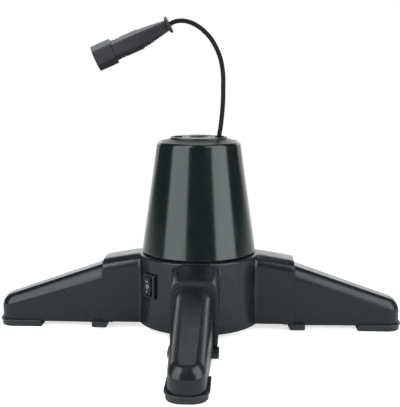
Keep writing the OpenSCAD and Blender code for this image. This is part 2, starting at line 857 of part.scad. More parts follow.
module drum_shell() {
  under_z = plateau_z - plateau_t;
  inner_top = drum_edge_z - 3.4;
  color(drum_colour) difference() {
    union() {
      rotate_extrude() polygon(concat(
        drum_outer_profile(),
        [
          [adapter_flange_r + adapter_gap, plateau_z],
          [adapter_flange_r + adapter_gap, plateau_z - adapter_flange_t],
          [pole_socket_r + 0.1, plateau_z - adapter_flange_t], [pole_socket_r + 0.1, under_z],
          [plateau_r - 2, under_z], [drum_r_at(inner_top) - drum_wall, inner_top],
          [drum_foot_r - drum_wall, drum_foot_z],
        ]
      ));
      // Bosses for the turntable's screws, each on a rib from the wall
      intersection() {
        for (a = [0:90:270]) rotate([0, 0, a + 45]) {
          translate([drum_screw_dist, 0, turntable_top_z])
            cylinder(h = drum_boss_len, r = drum_boss_r);
          translate([drum_screw_dist, -1.2, turntable_top_z]) cube([20, 2.4, drum_boss_len]);
        }
        translate([0, 0, drum_foot_z])
          cylinder(h = drum_h, r1 = drum_foot_r - 1, r2 = drum_top_r - 1);
      }
    }
    for (a = [0:90:270]) rotate([0, 0, a + 45]) translate([drum_screw_dist, 0, turntable_z])
      cylinder(h = turntable_t + screw_len, r = thread_r);
    for (a = slot_azimuths) slot_cut(a);
  }
}

module turntable() {
  color(black) difference() {
    translate([0, 0, turntable_z])
      cylinder(h = turntable_t, r = drum_r_at(turntable_top_z) - drum_wall - fit);
    cylinder(h = big, r = spindle_r + seat);
    for (a = [0:90:270]) rotate([0, 0, a + 45]) translate([drum_screw_dist, 0, 0])
      cylinder(h = big, r = screw_r + 0.3);
    for (a = [60:120:300]) rotate([0, 0, a]) translate([socket_screw_dist, 0, 0])
      cylinder(h = big, r = thread_r);
  }
}

module drum_screws() {
  color(zinc) for (a = [0:90:270]) rotate([0, 0, a + 45])
    translate([drum_screw_dist, 0, turntable_z]) screw(screw_len);
}

module pole_socket() {
  color(black) difference() {
    union() {
      translate([0, 0, turntable_top_z]) cylinder(h = pole_flange_t, r = pole_flange_r);
      translate([0, 0, turntable_top_z])
        cylinder(h = pole_top_z - turntable_top_z, r = pole_socket_r + pole_wall);
      // Flat pad for the lead clamp
      translate([pole_socket_r, -clamp_w / 2, clamp_top_z - clamp_h])
        cube([clamp_face_x - pole_socket_r, clamp_w, clamp_h]);
    }
    translate([0, 0, pole_floor_z]) cylinder(h = big, r = pole_socket_r);
    // Room above the spindle, with a window that lets the inner lead out sideways
    cylinder(h = wire_room_z, r = spindle_r + seat);
    translate([0, -wire_window_w / 2, turntable_top_z + pole_flange_t])
      cube([big, wire_window_w, wire_room_z - turntable_top_z - pole_flange_t]);
    for (a = [60:120:300]) rotate([0, 0, a]) translate([socket_screw_dist, 0, 0])
      cylinder(h = big, r = screw_r + 0.3);
    for (side = [-1, 1]) clamp_screw_place(side) cylinder(h = 5.4, r = thread_r);
  }
}

module socket_screws() {
  color(zinc) for (a = [60:120:300]) rotate([0, 0, a])
    translate([socket_screw_dist, 0, turntable_top_z + pole_flange_t]) rotate([180, 0, 0])
      screw(pole_flange_t + turntable_t - 0.6);
}

// ---------------------------------------------------------------- outlet lead

// Lead inside the drum, from the slip rings up to the clamp
module inner_lead() {
  color(black) swept_tube(INNER_ROUTE, inner_lead_r, lead_sides);
}

// Points inwards from the clamp's inner face
module clamp_screw_place(side) {
  translate([clamp_face_x, side * clamp_screw_y, clamp_top_z - clamp_h / 2])
    rotate([0, -90, 0]) children();
}

module lead_clamp() {
  color(black) difference() {
    translate([clamp_face_x, -clamp_w / 2, clamp_top_z - clamp_h]) cube([clamp_t, clamp_w, clamp_h]);
    translate([lead_x, 0, clamp_top_z - clamp_h - 1]) cylinder(h = clamp_h + 2, r = lead_d / 2 + 0.04);
    for (side = [-1, 1]) clamp_screw_place(side)
      translate([0, 0, -clamp_t - 1]) cylinder(h = clamp_t + 2, r = screw_r + 0.2);
  }
}

module clamp_screws() {
  color(zinc) for (side = [-1, 1]) clamp_screw_place(side)
    translate([0, 0, -clamp_t]) screw(clamp_t + 5);
}

function unit(v) = v / norm(v);

// Direction of a route at its point i
function heading(route, i) = unit(route[min(i + 1, len(route) - 1)] - route[max(i - 1, 0)]);

// One closed tube along a route that nowhere runs along Y
module swept_tube(route, r, sides) {
  n = len(route);
  points = [for (i = [0:n - 1], k = [0:sides - 1])
    let (along = heading(route, i), out = unit(cross([0, 1, 0], along)), a = k * 360 / sides)
    route[i] + r * (cos(a) * out + sin(a) * cross(along, out))];
  walls = [for (i = [0:n - 2], k = [0:sides - 1])
    let (a = i * sides + k, b = i * sides + (k + 1) % sides)
    each [[a, b, a + sides], [b, b + sides, a + sides]]];
  start = [for (k = [sides - 1:-1:0]) k];
  end = [for (k = [0:sides - 1]) (n - 1) * sides + k];
  polyhedron(points, concat(walls, [start, end]));
}

module outlet_lead() {
  color(black)
    swept_tube(concat(LEAD_ROUTE, [lead_end + 6 * tail_axis, lead_end]), lead_d / 2, lead_sides);
}

// Runs children's +Z along the connector, from its open face
module connector_place() {
  translate(connector_face) rotate([0, 90 - connector_tilt, 0]) rotate([0, 0, 90]) children();
}

module connector_shell() {
  color(connector_colour) connector_place() difference() {
    union() {
      linear_extrude(connector_hood_len) octagon(hood_half, hood_chamfer);
      linear_extrude(connector_body_end) octagon(body_half - [0, groove_d], body_chamfer);
      // The body stands out, above and below, between its grip grooves
      linear_extrude(groove_ats[0]) octagon(body_half, body_chamfer);
      translate([0, 0, groove_ats[0] + groove_w])
        linear_extrude(groove_ats[1] - groove_ats[0] - groove_w) octagon(body_half, body_chamfer);
      translate([0, 0, groove_ats[1] + groove_w])
        linear_extrude(connector_body_end - groove_ats[1] - groove_w)
          octagon(body_half, body_chamfer);
    }
    translate([0, 0, -1]) linear_extrude(connector_well + insert_len + 1)
      octagon(hood_half - [connector_wall, connector_wall], hood_chamfer - [1, 1]);
  }
}

module connector_insert() {
  color(black) connector_place() difference() {
    translate([0, 0, connector_well]) linear_extrude(insert_len)
      octagon(hood_half - [connector_wall + seat, connector_wall + seat], hood_chamfer - [1, 1]);
    for (side = [-1, 1]) translate([0, side * pin_gap / 2, connector_well - 1]) {
      cylinder(h = insert_len - 1, r = pin_r);
      translate([0, 0, 3]) cylinder(h = insert_len - 4, r = pin_r + 0.6);
    }
  }
}

module connector_contacts() {
  color(brass) connector_place() for (side = [-1, 1])
    translate([0, side * pin_gap / 2, connector_well + 2]) difference() {
      cylinder(h = insert_len - 4, r = pin_r + 0.6);
      translate([0, 0, -1]) cylinder(h = insert_len - 5, r = pin_r - 0.3);
    }
}

// The tapered strain relief, with the finger collar at its end
module connector_tail() {
  color(connector_colour) connector_place() translate([0, 0, connector_body_end]) {
    hull() {
      linear_extrude(1) octagon(tail_start_half, body_chamfer);
      rotate([-tail_bend, 0, 0]) translate([0, 0, tail_len - collar_len])
        linear_extrude(1) octagon(tail_end_half, [3, 3]);
    }
    rotate([-tail_bend, 0, 0]) {
      translate([0, 0, tail_len - collar_len])
        cylinder(h = collar_len - 1.6, r1 = tail_end_half[0], r2 = collar_r);
      translate([0, 0, tail_len - 1.6]) cylinder(h = 1.6, r = collar_r);
    }
  }
}

// ---------------------------------------------------------------- pole adapter

module pole_adapter() {
  color(drum_colour) difference() {
    union() {
      translate([0, 0, plateau_z - adapter_len])
        cylinder(h = adapter_len - 1, r = pole_socket_r - adapter_gap);
      translate([0, 0, plateau_z - adapter_flange_t])
        cylinder(h = adapter_flange_t, r = adapter_flange_r);
    }
    translate([0, 0, plateau_z - adapter_len - 1]) cylinder(h = adapter_len + 2, r = pole_bore_r);
  }
}

// ---------------------------------------------------------------- legs

function crown_z(x) = leg_top_z - (x - socket_reach) * tan(leg_slope);

// Outline of a leg in plan, moved inwards by d, from its root round its tip and back. The
// tip's arcs lie further out by nose.
function leg_outline(d, x0, nose = 0) =
  let (
    r = leg_corner_r - d,
    corner_x = leg_corner_x + nose,
    touch_x = corner_x + r * sin(leg_taper),
    touch_y = leg_corner_y + r * cos(leg_taper),
    root_y = touch_y + (touch_x - x0) * tan(leg_taper),
    arc = [for (i = [0:arc_steps]) let (a = (90 - leg_taper) * i / arc_steps)
      [corner_x + r * cos(a), leg_corner_y + r * sin(a)]]
  )
  concat(
    [[x0, -root_y]],
    [for (i = [arc_steps:-1:0]) [arc[i][0], -arc[i][1]]],
    arc,
    [[x0, root_y]]
  );

// The solid form of a leg beyond its socket, moved inwards by inset, down to low_z.
// Rings of points climb the upright wall and then the rounding up to the sloping crown.
module leg_form(inset, low_z, x0) {
  round_r = leg_round - inset;
  drop = inset / cos(leg_slope);
  n = 2 * arc_steps + 4;
  wall = [for (p = leg_outline(inset, x0)) [p[0], p[1], low_z]];
  rings = [for (k = [0:fillet_steps])
    let (a = k * 90 / fillet_steps, d = round_r * (1 - cos(a)))
    [for (p = leg_outline(inset + d, x0, nose_share * d))
      [p[0], p[1], crown_z(p[0]) - drop - round_r * (1 - sin(a))]]];
  points = concat(wall, [for (ring = rings) each ring]);
  count = fillet_steps + 2;
  sides = [for (k = [0:count - 2], i = [0:n - 2])
    let (a = k * n + i, b = a + 1)
    each [[a, a + n, b], [b, a + n, b + n]]];
  floor_face = [for (i = [0:n - 1]) i];
  crown_face = [for (i = [n - 1:-1:0]) (count - 1) * n + i];
  root_face = concat(
    [for (k = [0:count - 1]) k * n],
    [for (k = [count - 1:-1:0]) k * n + n - 1]
  );
  polyhedron(points, concat(sides, [floor_face, crown_face, root_face]));
}

// A leg along +X: a shell that is open below, with a stub for the socket
module leg_shell() {
  inner_w = leg_root_w - 2 * leg_wall;
  difference() {
    union() {
      difference() {
        leg_form(0, leg_low_z, leg_x);
        leg_form(leg_wall, -1, leg_x - 1);
      }
      // The part of the wall that stands in the foot's groove
      intersection() {
        difference() {
          leg_form(0, foot_seat_z, leg_x);
          leg_form(leg_wall, -1, leg_x - 1);
        }
        translate([foot_x + fit, -big / 2, foot_seat_z]) cube([big, big, leg_low_z]);
      }
      difference() {
        translate([stub_x, 0, leg_top_z])
          rounded_bar(leg_x - stub_x + eps, leg_root_w, leg_top_z - stub_low_z, leg_round);
        translate([stub_x - 1, 0, leg_top_z - leg_wall])
          rounded_bar(big, inner_w, leg_top_z, leg_round - leg_wall);
      }
      // Cross ribs with the screw bosses
      intersection() {
        union() {
          leg_rib(foot_screw_x, foot_seat_z + 4, foot_screw_y);
          leg_rib(catch_screw_x, leg_low_z, catch_screw_y);
        }
        leg_form(1, leg_low_z, leg_x);
      }
    }
    for (side = [-1, 1]) {
      translate([foot_screw_x, side * foot_screw_y, 0]) cylinder(h = foot_seat_z + 20, r = thread_r);
      translate([catch_screw_x, side * catch_screw_y, 0]) cylinder(h = leg_low_z + 16, r = thread_r);
    }
  }
}

module leg_rib(x, z, y) {
  translate([x - rib_t / 2, -leg_root_w / 2, z + 6]) cube([rib_t, leg_root_w, big]);
  for (side = [-1, 1]) translate([x, side * y, z]) cylinder(h = 20, r = leg_boss_r);
}

module foot_outline(d) {
  r = foot_corner_r;
  translate([foot_x + d, -foot_w / 2 + d]) square([foot_len - r - d, foot_w - 2 * d]);
  translate([foot_x + d, -foot_w / 2 + r]) square([foot_len - 2 * d, foot_w - 2 * r]);
  for (side = [-1, 1]) translate([foot_reach - r, side * (foot_w / 2 - r)]) circle(r - d);
}

module foot_pad() {
  difference() {
    union() {
      linear_extrude(foot_h - foot_lip_h) foot_outline(foot_lip);
      translate([0, 0, foot_h - foot_lip_h]) linear_extrude(foot_lip_h) foot_outline(0);
      // The core rises inside the leg up to its bosses
      translate([foot_x + 6, -12, foot_h - 1]) cube([24, 24, foot_seat_z + 4 - foot_h + 1]);
    }
    // Groove that the leg's wall stands in
    translate([0, 0, foot_seat_z]) linear_extrude(foot_h) difference() {
      leg_plan(-seat);
      leg_plan(leg_wall + seat);
    }
    for (side = [-1, 1]) translate([foot_screw_x, side * foot_screw_y, -1]) {
      cylinder(h = 30, r = screw_r + 0.3);
      cylinder(h = 1 + 0.6 + head_h, r = head_r + 0.4);
    }
  }
}

// Plan of a leg, moved inwards by d
module leg_plan(d) {
  polygon(leg_outline(d, leg_x));
}

module catch_plate() {
  x1 = catch_x + catch_len;
  difference() {
    intersection() {
      translate([0, 0, catch_low_z]) linear_extrude(catch_top_z - catch_low_z) {
        translate([catch_x - 2, -catch_w / 2 + catch_corner_r])
          square([catch_len + 2, catch_w - 2 * catch_corner_r]);
        translate([catch_x - 2, -catch_w / 2]) square([catch_len + 2 - catch_corner_r, catch_w]);
        for (side = [-1, 1])
          translate([x1 - catch_corner_r, side * (catch_w / 2 - catch_corner_r)])
            circle(catch_corner_r);
      }
      rotate([90, 0, 0]) linear_extrude(big, center = true) polygon([
        [catch_x, catch_top_z + eps], [catch_x + catch_lean, catch_low_z - eps],
        [x1 + 1, catch_low_z - eps], [x1 + 1, catch_top_z + eps],
      ]);
    }
    // Seat that the leg stands in
    translate([0, 0, leg_low_z]) linear_extrude(big) leg_plan(-seat);
    // Hollow between the ears
    translate([catch_x + 5, -8, catch_low_z - 1]) cube([catch_len - 8, 16, 4]);
    for (side = [-1, 1]) translate([catch_screw_x, side * catch_screw_y, catch_low_z - 1]) {
      cylinder(h = 30, r = screw_r + 0.3);
      cylinder(h = 1.5 + head_h, r = head_r + 0.4);
    }
  }
}

module leg_screw_set() {
  for (side = [-1, 1]) {
    translate([foot_screw_x, side * foot_screw_y, 0.6 + head_h]) screw(screw_len + 4);
    translate([catch_screw_x, side * catch_screw_y, catch_low_z + 0.5 + head_h]) screw(screw_len);
  }
}

module right_leg() color(hub_colour) rotate([0, 0, RIGHT]) leg_shell();
module back_leg() color(hub_colour) rotate([0, 0, BACK]) leg_shell();
module left_leg() color(hub_colour) rotate([0, 0, LEFT]) leg_shell();
module front_leg() color(hub_colour) rotate([0, 0, FRONT]) leg_shell();

module right_foot() color(foot_colour) rotate([0, 0, RIGHT]) foot_pad();
module back_foot() color(foot_colour) rotate([0, 0, BACK]) foot_pad();
module left_foot() color(foot_colour) rotate([0, 0, LEFT]) foot_pad();
module front_foot() color(foot_colour) rotate([0, 0, FRONT]) foot_pad();

module right_catch() color(foot_colour) rotate([0, 0, RIGHT]) catch_plate();
module back_catch() color(foot_colour) rotate([0, 0, BACK]) catch_plate();
module left_catch() color(foot_colour) rotate([0, 0, LEFT]) catch_plate();
module front_catch() color(foot_colour) rotate([0, 0, FRONT]) catch_plate();

module right_screws() color(zinc) rotate([0, 0, RIGHT]) leg_screw_set();
module back_screws() color(zinc) rotate([0, 0, BACK]) leg_screw_set();
module left_screws() color(zinc) rotate([0, 0, LEFT]) leg_screw_set();
module front_screws() color(zinc) rotate([0, 0, FRONT]) leg_screw_set();

hub_housing();
bottom_cover();
cover_screws();
lower_race();
spindle_bush();
gear_motor();
motor_screws();
contact_block();
contact_screws();
ring_contacts();
switch_body();
switch_terminals();
cable_gland();
gland_nut();
drum_shell();
turntable();
upper_race();
drum_screws();
spindle();
drive_gear();
grub_screws();
slip_core();
slip_rings();
pole_socket();
socket_screws();
inner_lead();
lead_clamp();
clamp_screws();
outlet_lead();
connector_shell();
connector_insert();
connector_contacts();
connector_tail();
pole_adapter();
switch_rocker();
motor_shaft();
pinion();
ball_cage();
bearing_balls();
right_leg();
right_foot();
right_catch();
right_screws();
back_leg();
back_foot();
back_catch();
back_screws();
left_leg();
left_foot();
left_catch();
left_screws();
front_leg();
front_foot();
front_catch();
front_screws();
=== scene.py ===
"""Looks for the rotating tree stand: moulded shells, lead, connector, switch and finishes.

Lengths are in metres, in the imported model's frame: the floor is z = 0, the turning axis is
x = y = 0, and the front leg points along -Y.
"""

import math

import bmesh
import bpy
from bpy.props import FloatProperty, FloatVectorProperty, IntProperty, PointerProperty
from mathutils import Matrix, Vector


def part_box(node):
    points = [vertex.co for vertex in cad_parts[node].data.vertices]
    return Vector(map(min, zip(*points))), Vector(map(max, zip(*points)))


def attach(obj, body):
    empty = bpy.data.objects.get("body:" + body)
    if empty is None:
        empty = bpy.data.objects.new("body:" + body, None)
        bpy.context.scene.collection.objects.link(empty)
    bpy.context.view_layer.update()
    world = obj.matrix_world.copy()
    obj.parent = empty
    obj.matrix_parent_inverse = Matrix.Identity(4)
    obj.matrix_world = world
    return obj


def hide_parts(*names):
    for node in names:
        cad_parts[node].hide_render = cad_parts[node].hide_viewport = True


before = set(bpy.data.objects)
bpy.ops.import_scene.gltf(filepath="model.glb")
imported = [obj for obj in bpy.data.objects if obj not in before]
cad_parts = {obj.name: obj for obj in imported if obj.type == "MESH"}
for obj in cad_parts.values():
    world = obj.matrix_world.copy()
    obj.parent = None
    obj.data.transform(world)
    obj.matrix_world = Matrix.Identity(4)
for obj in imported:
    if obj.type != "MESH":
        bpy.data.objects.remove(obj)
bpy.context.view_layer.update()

bl_info = {
    "name": "Rotating tree stand",
    "version": (1, 0, 0),
    "blender": (4, 5, 0),
    "location": "3D View > Sidebar > Tree stand",
    "description": "Builds the finished surfaces of a rotating stand for an artificial tree",
    "category": "Object",
}

MM = 0.001
MERGE_DISTANCE = 1e-6
UP = Vector((0, 0, 1))
LEG_TURNS = {"right": 0, "back": 90, "left": 180, "front": 270}

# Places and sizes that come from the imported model
DRUM_LOW, DRUM_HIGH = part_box("drum_shell")
HUB_LOW, HUB_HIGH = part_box("hub_housing")
LEG_LOW, LEG_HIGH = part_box("right_leg")
FOOT_LOW, FOOT_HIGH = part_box("right_foot")
CATCH_LOW, CATCH_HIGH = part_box("right_catch")
COVER_LOW, COVER_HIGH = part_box("bottom_cover")
ADAPTER_LOW, ADAPTER_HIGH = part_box("pole_adapter")
CLAMP_LOW, CLAMP_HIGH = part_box("lead_clamp")

# Hub
HUB_FOOT_Z = COVER_LOW.z
HUB_FOOT_R = 82 * MM
HUB_RIM_R = 79.5 * MM
HUB_WALL = 3 * MM
DECK_T = 3.2 * MM
BUSH_R = 15.15 * MM
SOCKET_REACH = HUB_HIGH.x
SOCKET_HALF_W = 29 * MM
SOCKET_TOP_Z = 93.8 * MM
SOCKET_SLOPE = math.tan(math.radians(10))
SOCKET_ROUND = 16.5 * MM
SOCKET_BLEND_R = 6 * MM
SOCKET_LOW_ROUND = 0.6 * MM
MOUTH_ROUND = 0.8 * MM
TUNNEL_GAP = 0.35 * MM
TUNNEL_FLOOR_Z = HUB_FOOT_Z + 3 * MM
NIB_HALF_W = 26 * MM

# Legs
LEG_ROOT_X = SOCKET_REACH + 0.3 * MM
LEG_TIP_X = LEG_HIGH.x
LEG_ROOT_HALF_W = 23.7 * MM
LEG_TIP_HALF_W = 20.7 * MM
LEG_CORNER_R = 17.5 * MM
LEG_ROUND = 13 * MM
LEG_ROUND_ACROSS = 12.4 * MM
LEG_CREASE = math.radians(25)
LEG_ROUND_ROOT, LEG_ROUND_TIP = 17 * MM, 11.5 * MM
LEG_TOP_Z = LEG_HIGH.z
LEG_LOW_Z = 7.5 * MM
LEG_SLOPE = math.tan(math.radians(19.1))
LEG_WALL = 2.6 * MM
STUB_FLOOR_Z = TUNNEL_FLOOR_Z + TUNNEL_GAP
NOSE_SHARE = 0.25
FOOT_RIM_Z = 9.3 * MM
FOOT_CORNER_R = 20 * MM
CATCH_SCREW_X = CATCH_HIGH.x - 7 * MM
FOOT_SCREW_X = FOOT_LOW.x + 16 * MM

# Drum
DRUM_TOP_R = 54.7 * MM
DRUM_EDGE_Z = DRUM_HIGH.z - 6.4 * MM
DRUM_SHOULDER_RISE = 4.1 * MM
PLATEAU_R = 37.2 * MM
PLATEAU_T = 4 * MM
DRUM_WALL = 3 * MM
COLLAR_T = 2.2 * MM
COLLAR_HOLE_R = 19.6 * MM
LEDGE_IN_R, LEDGE_OUT_R = 17.1 * MM, 21 * MM
SLOT_MID_R = 28 * MM
SLOT_HALF_W = 6 * MM
SLOT_HALF_ANGLE = math.radians(17)
SLOT_TURNS = (0, 90, 180)

# Switch: its own X axis points out of the hub
SWITCH_TURN = math.radians(-138)
SWITCH_Z = 67.3 * MM
SWITCH_W = 24 * MM
SWITCH_H = 32 * MM
ROCKER_W = 14 * MM
FRAME_T = 3 * MM
ROCKER_R = 12.4 * MM
ROCKER_AXIS_DEPTH = 4.2 * MM

# Cable gland: its own Z axis points out of the hub
GLAND_TURN = math.radians(135)
GLAND_Z = 35.3 * MM
GLAND_SEAT = 81.62 * MM
GLAND_BORE_R = 3.6 * MM

# Outlet lead: the same route as the solid, in metres
LEAD_ROUTE = [
    Vector(point) * MM
    for point in (
        (26.5, 0, 215.3), (26.5, 0, 229.3), (26.5, 0, 244.3), (27, 0, 257.3), (28.8, 0.5, 269.3),
        (30.1, 1.6, 281.2), (31.2, 3.4, 294.2), (31.7, 5.6, 307.2), (31.7, 8, 320.2),
        (31.6, 10.3, 333.3), (30.1, 12.3, 346.4), (27, 13.9, 359.5), (21.9, 15, 371.5),
        (15.2, 15.6, 382.6), (6.5, 16, 392.1), (-3.3, 16, 399.5), (-13.5, 16, 404.1),
        (-24, 16, 405.7),
    )
]
CONNECTOR_FACE = Vector((-137.3, 16, 356.5)) * MM
CONNECTOR_TILT = math.radians(23.5)
TAIL_TILT = math.radians(26)
BODY_END = 65 * MM
TAIL_LEN = 43.6 * MM

# Photograph: 400 by 407 pixels, taken from the front and a little above
PHOTO_SIZE = (400, 407)
PHOTO_FOCAL_PX = 785.5
CAMERA_DISTANCE = 1.034
CAMERA_HEIGHT = 0.3348
CAMERA_PITCH = 0.1613
CAMERA_TURN = 0.05
CAMERA_ASIDE = -0.0016

# Screws: the head's rim, crown and cross recess are shares of its height and radius
HEAD_H = 2.2 * MM
HEAD_RIM_SHARE = 0.55
HEAD_CROWN_SHARE = 0.72
RECESS_SHARES = (1.05, 0.26)

# Tones of the dust, the lamps, the floor and the backdrop
DUST_TONE = (0.22, 0.225, 0.225, 1.0)
LAMP_TINT = (0.93, 1.0, 1.0)
PAPER_TONE = (0.82, 0.82, 0.82, 1.0)
WHITE = (1, 1, 1, 1)


# ------------------------------------------------------------------ sizes and colours


def colour_property(name, value, description):
    return FloatVectorProperty(
        name=name, subtype="COLOR", size=3, default=value, min=0, max=1, description=description
    )


def length_property(name, value, description):
    return FloatProperty(
        name=name, default=value, min=0, unit="LENGTH", precision=5, description=description
    )


def level_property(name, value, description):
    return FloatProperty(name=name, default=value, min=0, description=description)


class TreeStandSizes(bpy.types.PropertyGroup):
    turned_steps: IntProperty(
        name="Turned steps", default=144, min=24, description="Faces around a turned shell"
    )
    drum_edge_round: length_property("Drum edge", 4.5 * MM, "Rounding of the drum's upper edge")
    hub_rim_round: length_property("Hub rim", 2.8 * MM, "Rounding of the hub's upper rim")
    lead_diameter: length_property("Lead diameter", 6 * MM, "Diameter of the outlet lead")
    mark_line: length_property("Mark line", 0.8 * MM, "Width of a line in a switch mark")


class TreeStandColours(bpy.types.PropertyGroup):
    drum: colour_property("Drum", (0.0044, 0.0072, 0.0070), "Glossy green-black plastic")
    hub: colour_property("Hub and legs", (0.0068, 0.0081, 0.0098), "Satin grey-green plastic")
    foot: colour_property("Feet", (0.0135, 0.0158, 0.0175), "Matt dark grey plastic")
    black: colour_property("Switch", (0.008, 0.008, 0.009), "Black plastic")
    connector: colour_property("Connector", (0.0104, 0.0080, 0.0108), "Soft dark grey plastic")
    lead: colour_property("Lead", (0.003, 0.003, 0.0033), "Black lead sheath")
    mark: colour_property("Switch marks", (0.45, 0.46, 0.45), "Pale printed marks")


class TreeStandStage(bpy.types.PropertyGroup):
    left_box: level_property("Left softbox", 1.0, "Its level")
    right_box: level_property("Right softbox", 1.0, "Its level")
    front_box: level_property("Wings", 1.0, "Their level")
    top_box: level_property("Top softbox", 1.0, "Its level")
    back_box: level_property("Back softbox", 1.0, "Its level")
    fill: level_property("Fill", 0.45, "Level of the room's light")
    floor_size: length_property("Floor size", 9.0, "Side of the square floor")


def sizes():
    return bpy.context.scene.tree_stand_sizes


def colours():
    return bpy.context.scene.tree_stand_colours


def new_object(name, data):
    """An object with the given data, placed in the scene."""
    obj = bpy.data.objects.new(name, data)
    bpy.context.scene.collection.objects.link(obj)
    return obj


# ------------------------------------------------------------------ node trees


def add_node(tree, kind, inputs=None, **settings):
    """A node with its settings, and its inputs set to values or linked to sockets."""
    node = tree.nodes.new(kind)
    for name, value in settings.items():
        setattr(node, name, value)
    for key, value in (inputs or {}).items():
        socket = node.inputs[key]
        if isinstance(value, bpy.types.NodeSocket):
            tree.links.new(value, socket)
        else:
            socket.default_value = value
    return node


def put(tree, kind, inputs=None, **settings):
    """The first output of a new node."""
    return add_node(tree, kind, inputs, **settings).outputs[0]


def math_node(tree, operation, a, b=0.0):
    return put(tree, "ShaderNodeMath", {0: a, 1: b}, operation=operation)


def times(tree, a, b):
    return math_node(tree, "MULTIPLY", a, b)


def label(key):
    """The name of a tree's input, as its panel shows it."""
    return key.replace("_", " ").title()


def new_tree(name, kind, inputs, outputs):
    """A node tree whose inputs are (name, socket type, default) and outputs (name, type)."""
    tree = bpy.data.node_groups.new(name, kind)
    for title, socket_type, default in inputs:
        socket = tree.interface.new_socket(name=title, in_out="INPUT", socket_type=socket_type)
        if default is not None:
            socket.default_value = default
    for title, socket_type in outputs:
        tree.interface.new_socket(name=title, in_out="OUTPUT", socket_type=socket_type)
    return tree, tree.nodes.new("NodeGroupInput"), tree.nodes.new("NodeGroupOutput")


def new_shape_tree(name, **values):
    """A shape tree with one input for each value, named after it."""
    inputs = [("Geometry", "NodeSocketGeometry", None)]
    for key, value in values.items():
        kind = "NodeSocketInt" if isinstance(value, int) else "NodeSocketFloat"
        inputs.append((label(key), kind, value))
    inputs.append(("Finish", "NodeSocketMaterial", None))
    return new_tree(name, "GeometryNodeTree", inputs, [("Geometry", "NodeSocketGeometry")])


def end_shape_tree(tree, group_in, group_out, geometry):
    real = put(tree, "GeometryNodeRealizeInstances", {"Geometry": geometry})
    inputs = {"Geometry": real, "Material": group_in.outputs["Finish"]}
    tree.links.new(put(tree, "GeometryNodeSetMaterial", inputs), group_out.inputs["Geometry"])
    return tree


def merged(tree, geometry):
    inputs = {"Geometry": geometry, "Distance": MERGE_DISTANCE}
    return put(tree, "GeometryNodeMergeByDistance", inputs)


def lifted(tree, geometry, z):
    place = put(tree, "ShaderNodeCombineXYZ", {"Z": z})
    return put(tree, "GeometryNodeTransform", {"Geometry": geometry, "Translation": place})


def together(tree, *geometries):
    join = tree.nodes.new("GeometryNodeJoinGeometry")
    for geometry in geometries:
        tree.links.new(geometry, join.inputs[0])
    return join.outputs[0]


def turned_tree():
    """Turns a closed outline in the XZ plane about the Z axis."""
    tree, group_in, group_out = new_shape_tree("Turned shell", steps=144)
    outline, steps = group_in.outputs["Geometry"], group_in.outputs["Steps"]
    points = put(tree, "GeometryNodeAttributeDomainSize", {"Geometry": outline})
    across = math_node(tree, "ADD", points, 1)
    around = math_node(tree, "ADD", steps, 1)
    grid = put(tree, "GeometryNodeMeshGrid", {"Vertices X": across, "Vertices Y": around})
    index = put(tree, "GeometryNodeInputIndex")
    row = math_node(tree, "FLOOR", math_node(tree, "DIVIDE", index, around))
    column = math_node(tree, "FLOORED_MODULO", index, around)
    place = add_node(
        tree,
        "GeometryNodeSampleIndex",
        {
            "Geometry": outline,
            "Value": put(tree, "GeometryNodeInputPosition"),
            "Index": math_node(tree, "FLOORED_MODULO", row, points),
        },
        data_type="FLOAT_VECTOR",
        domain="POINT",
    )
    angle = times(tree, math_node(tree, "DIVIDE", column, steps), math.tau)
    turned = put(
        tree,
        "ShaderNodeVectorRotate",
        {"Vector": place.outputs["Value"], "Angle": angle},
        rotation_type="Z_AXIS",
    )
    shaped = put(tree, "GeometryNodeSetPosition", {"Geometry": grid, "Position": turned})
    return end_shape_tree(tree, group_in, group_out, merged(tree, shaped))


def pierced_plate_tree():
    """Fills flat outlines, holes included, gives the sheet its thickness and lifts it."""
    tree, group_in, group_out = new_shape_tree(
        "Pierced plate", thickness=PLATEAU_T, height=250 * MM
    )
    curves = put(tree, "GeometryNodeMeshToCurve", {"Mesh": group_in.outputs["Geometry"]})
    sheet = put(tree, "GeometryNodeFillCurve", {"Curve": curves})
    grow = {"Mesh": sheet, "Offset Scale": group_in.outputs["Thickness"], "Individual": False}
    raised = put(tree, "GeometryNodeExtrudeMesh", grow)
    under = put(tree, "GeometryNodeFlipFaces", {"Mesh": sheet})
    closed = merged(tree, together(tree, raised, under))
    plate = lifted(tree, closed, group_in.outputs["Height"])
    return end_shape_tree(tree, group_in, group_out, plate)


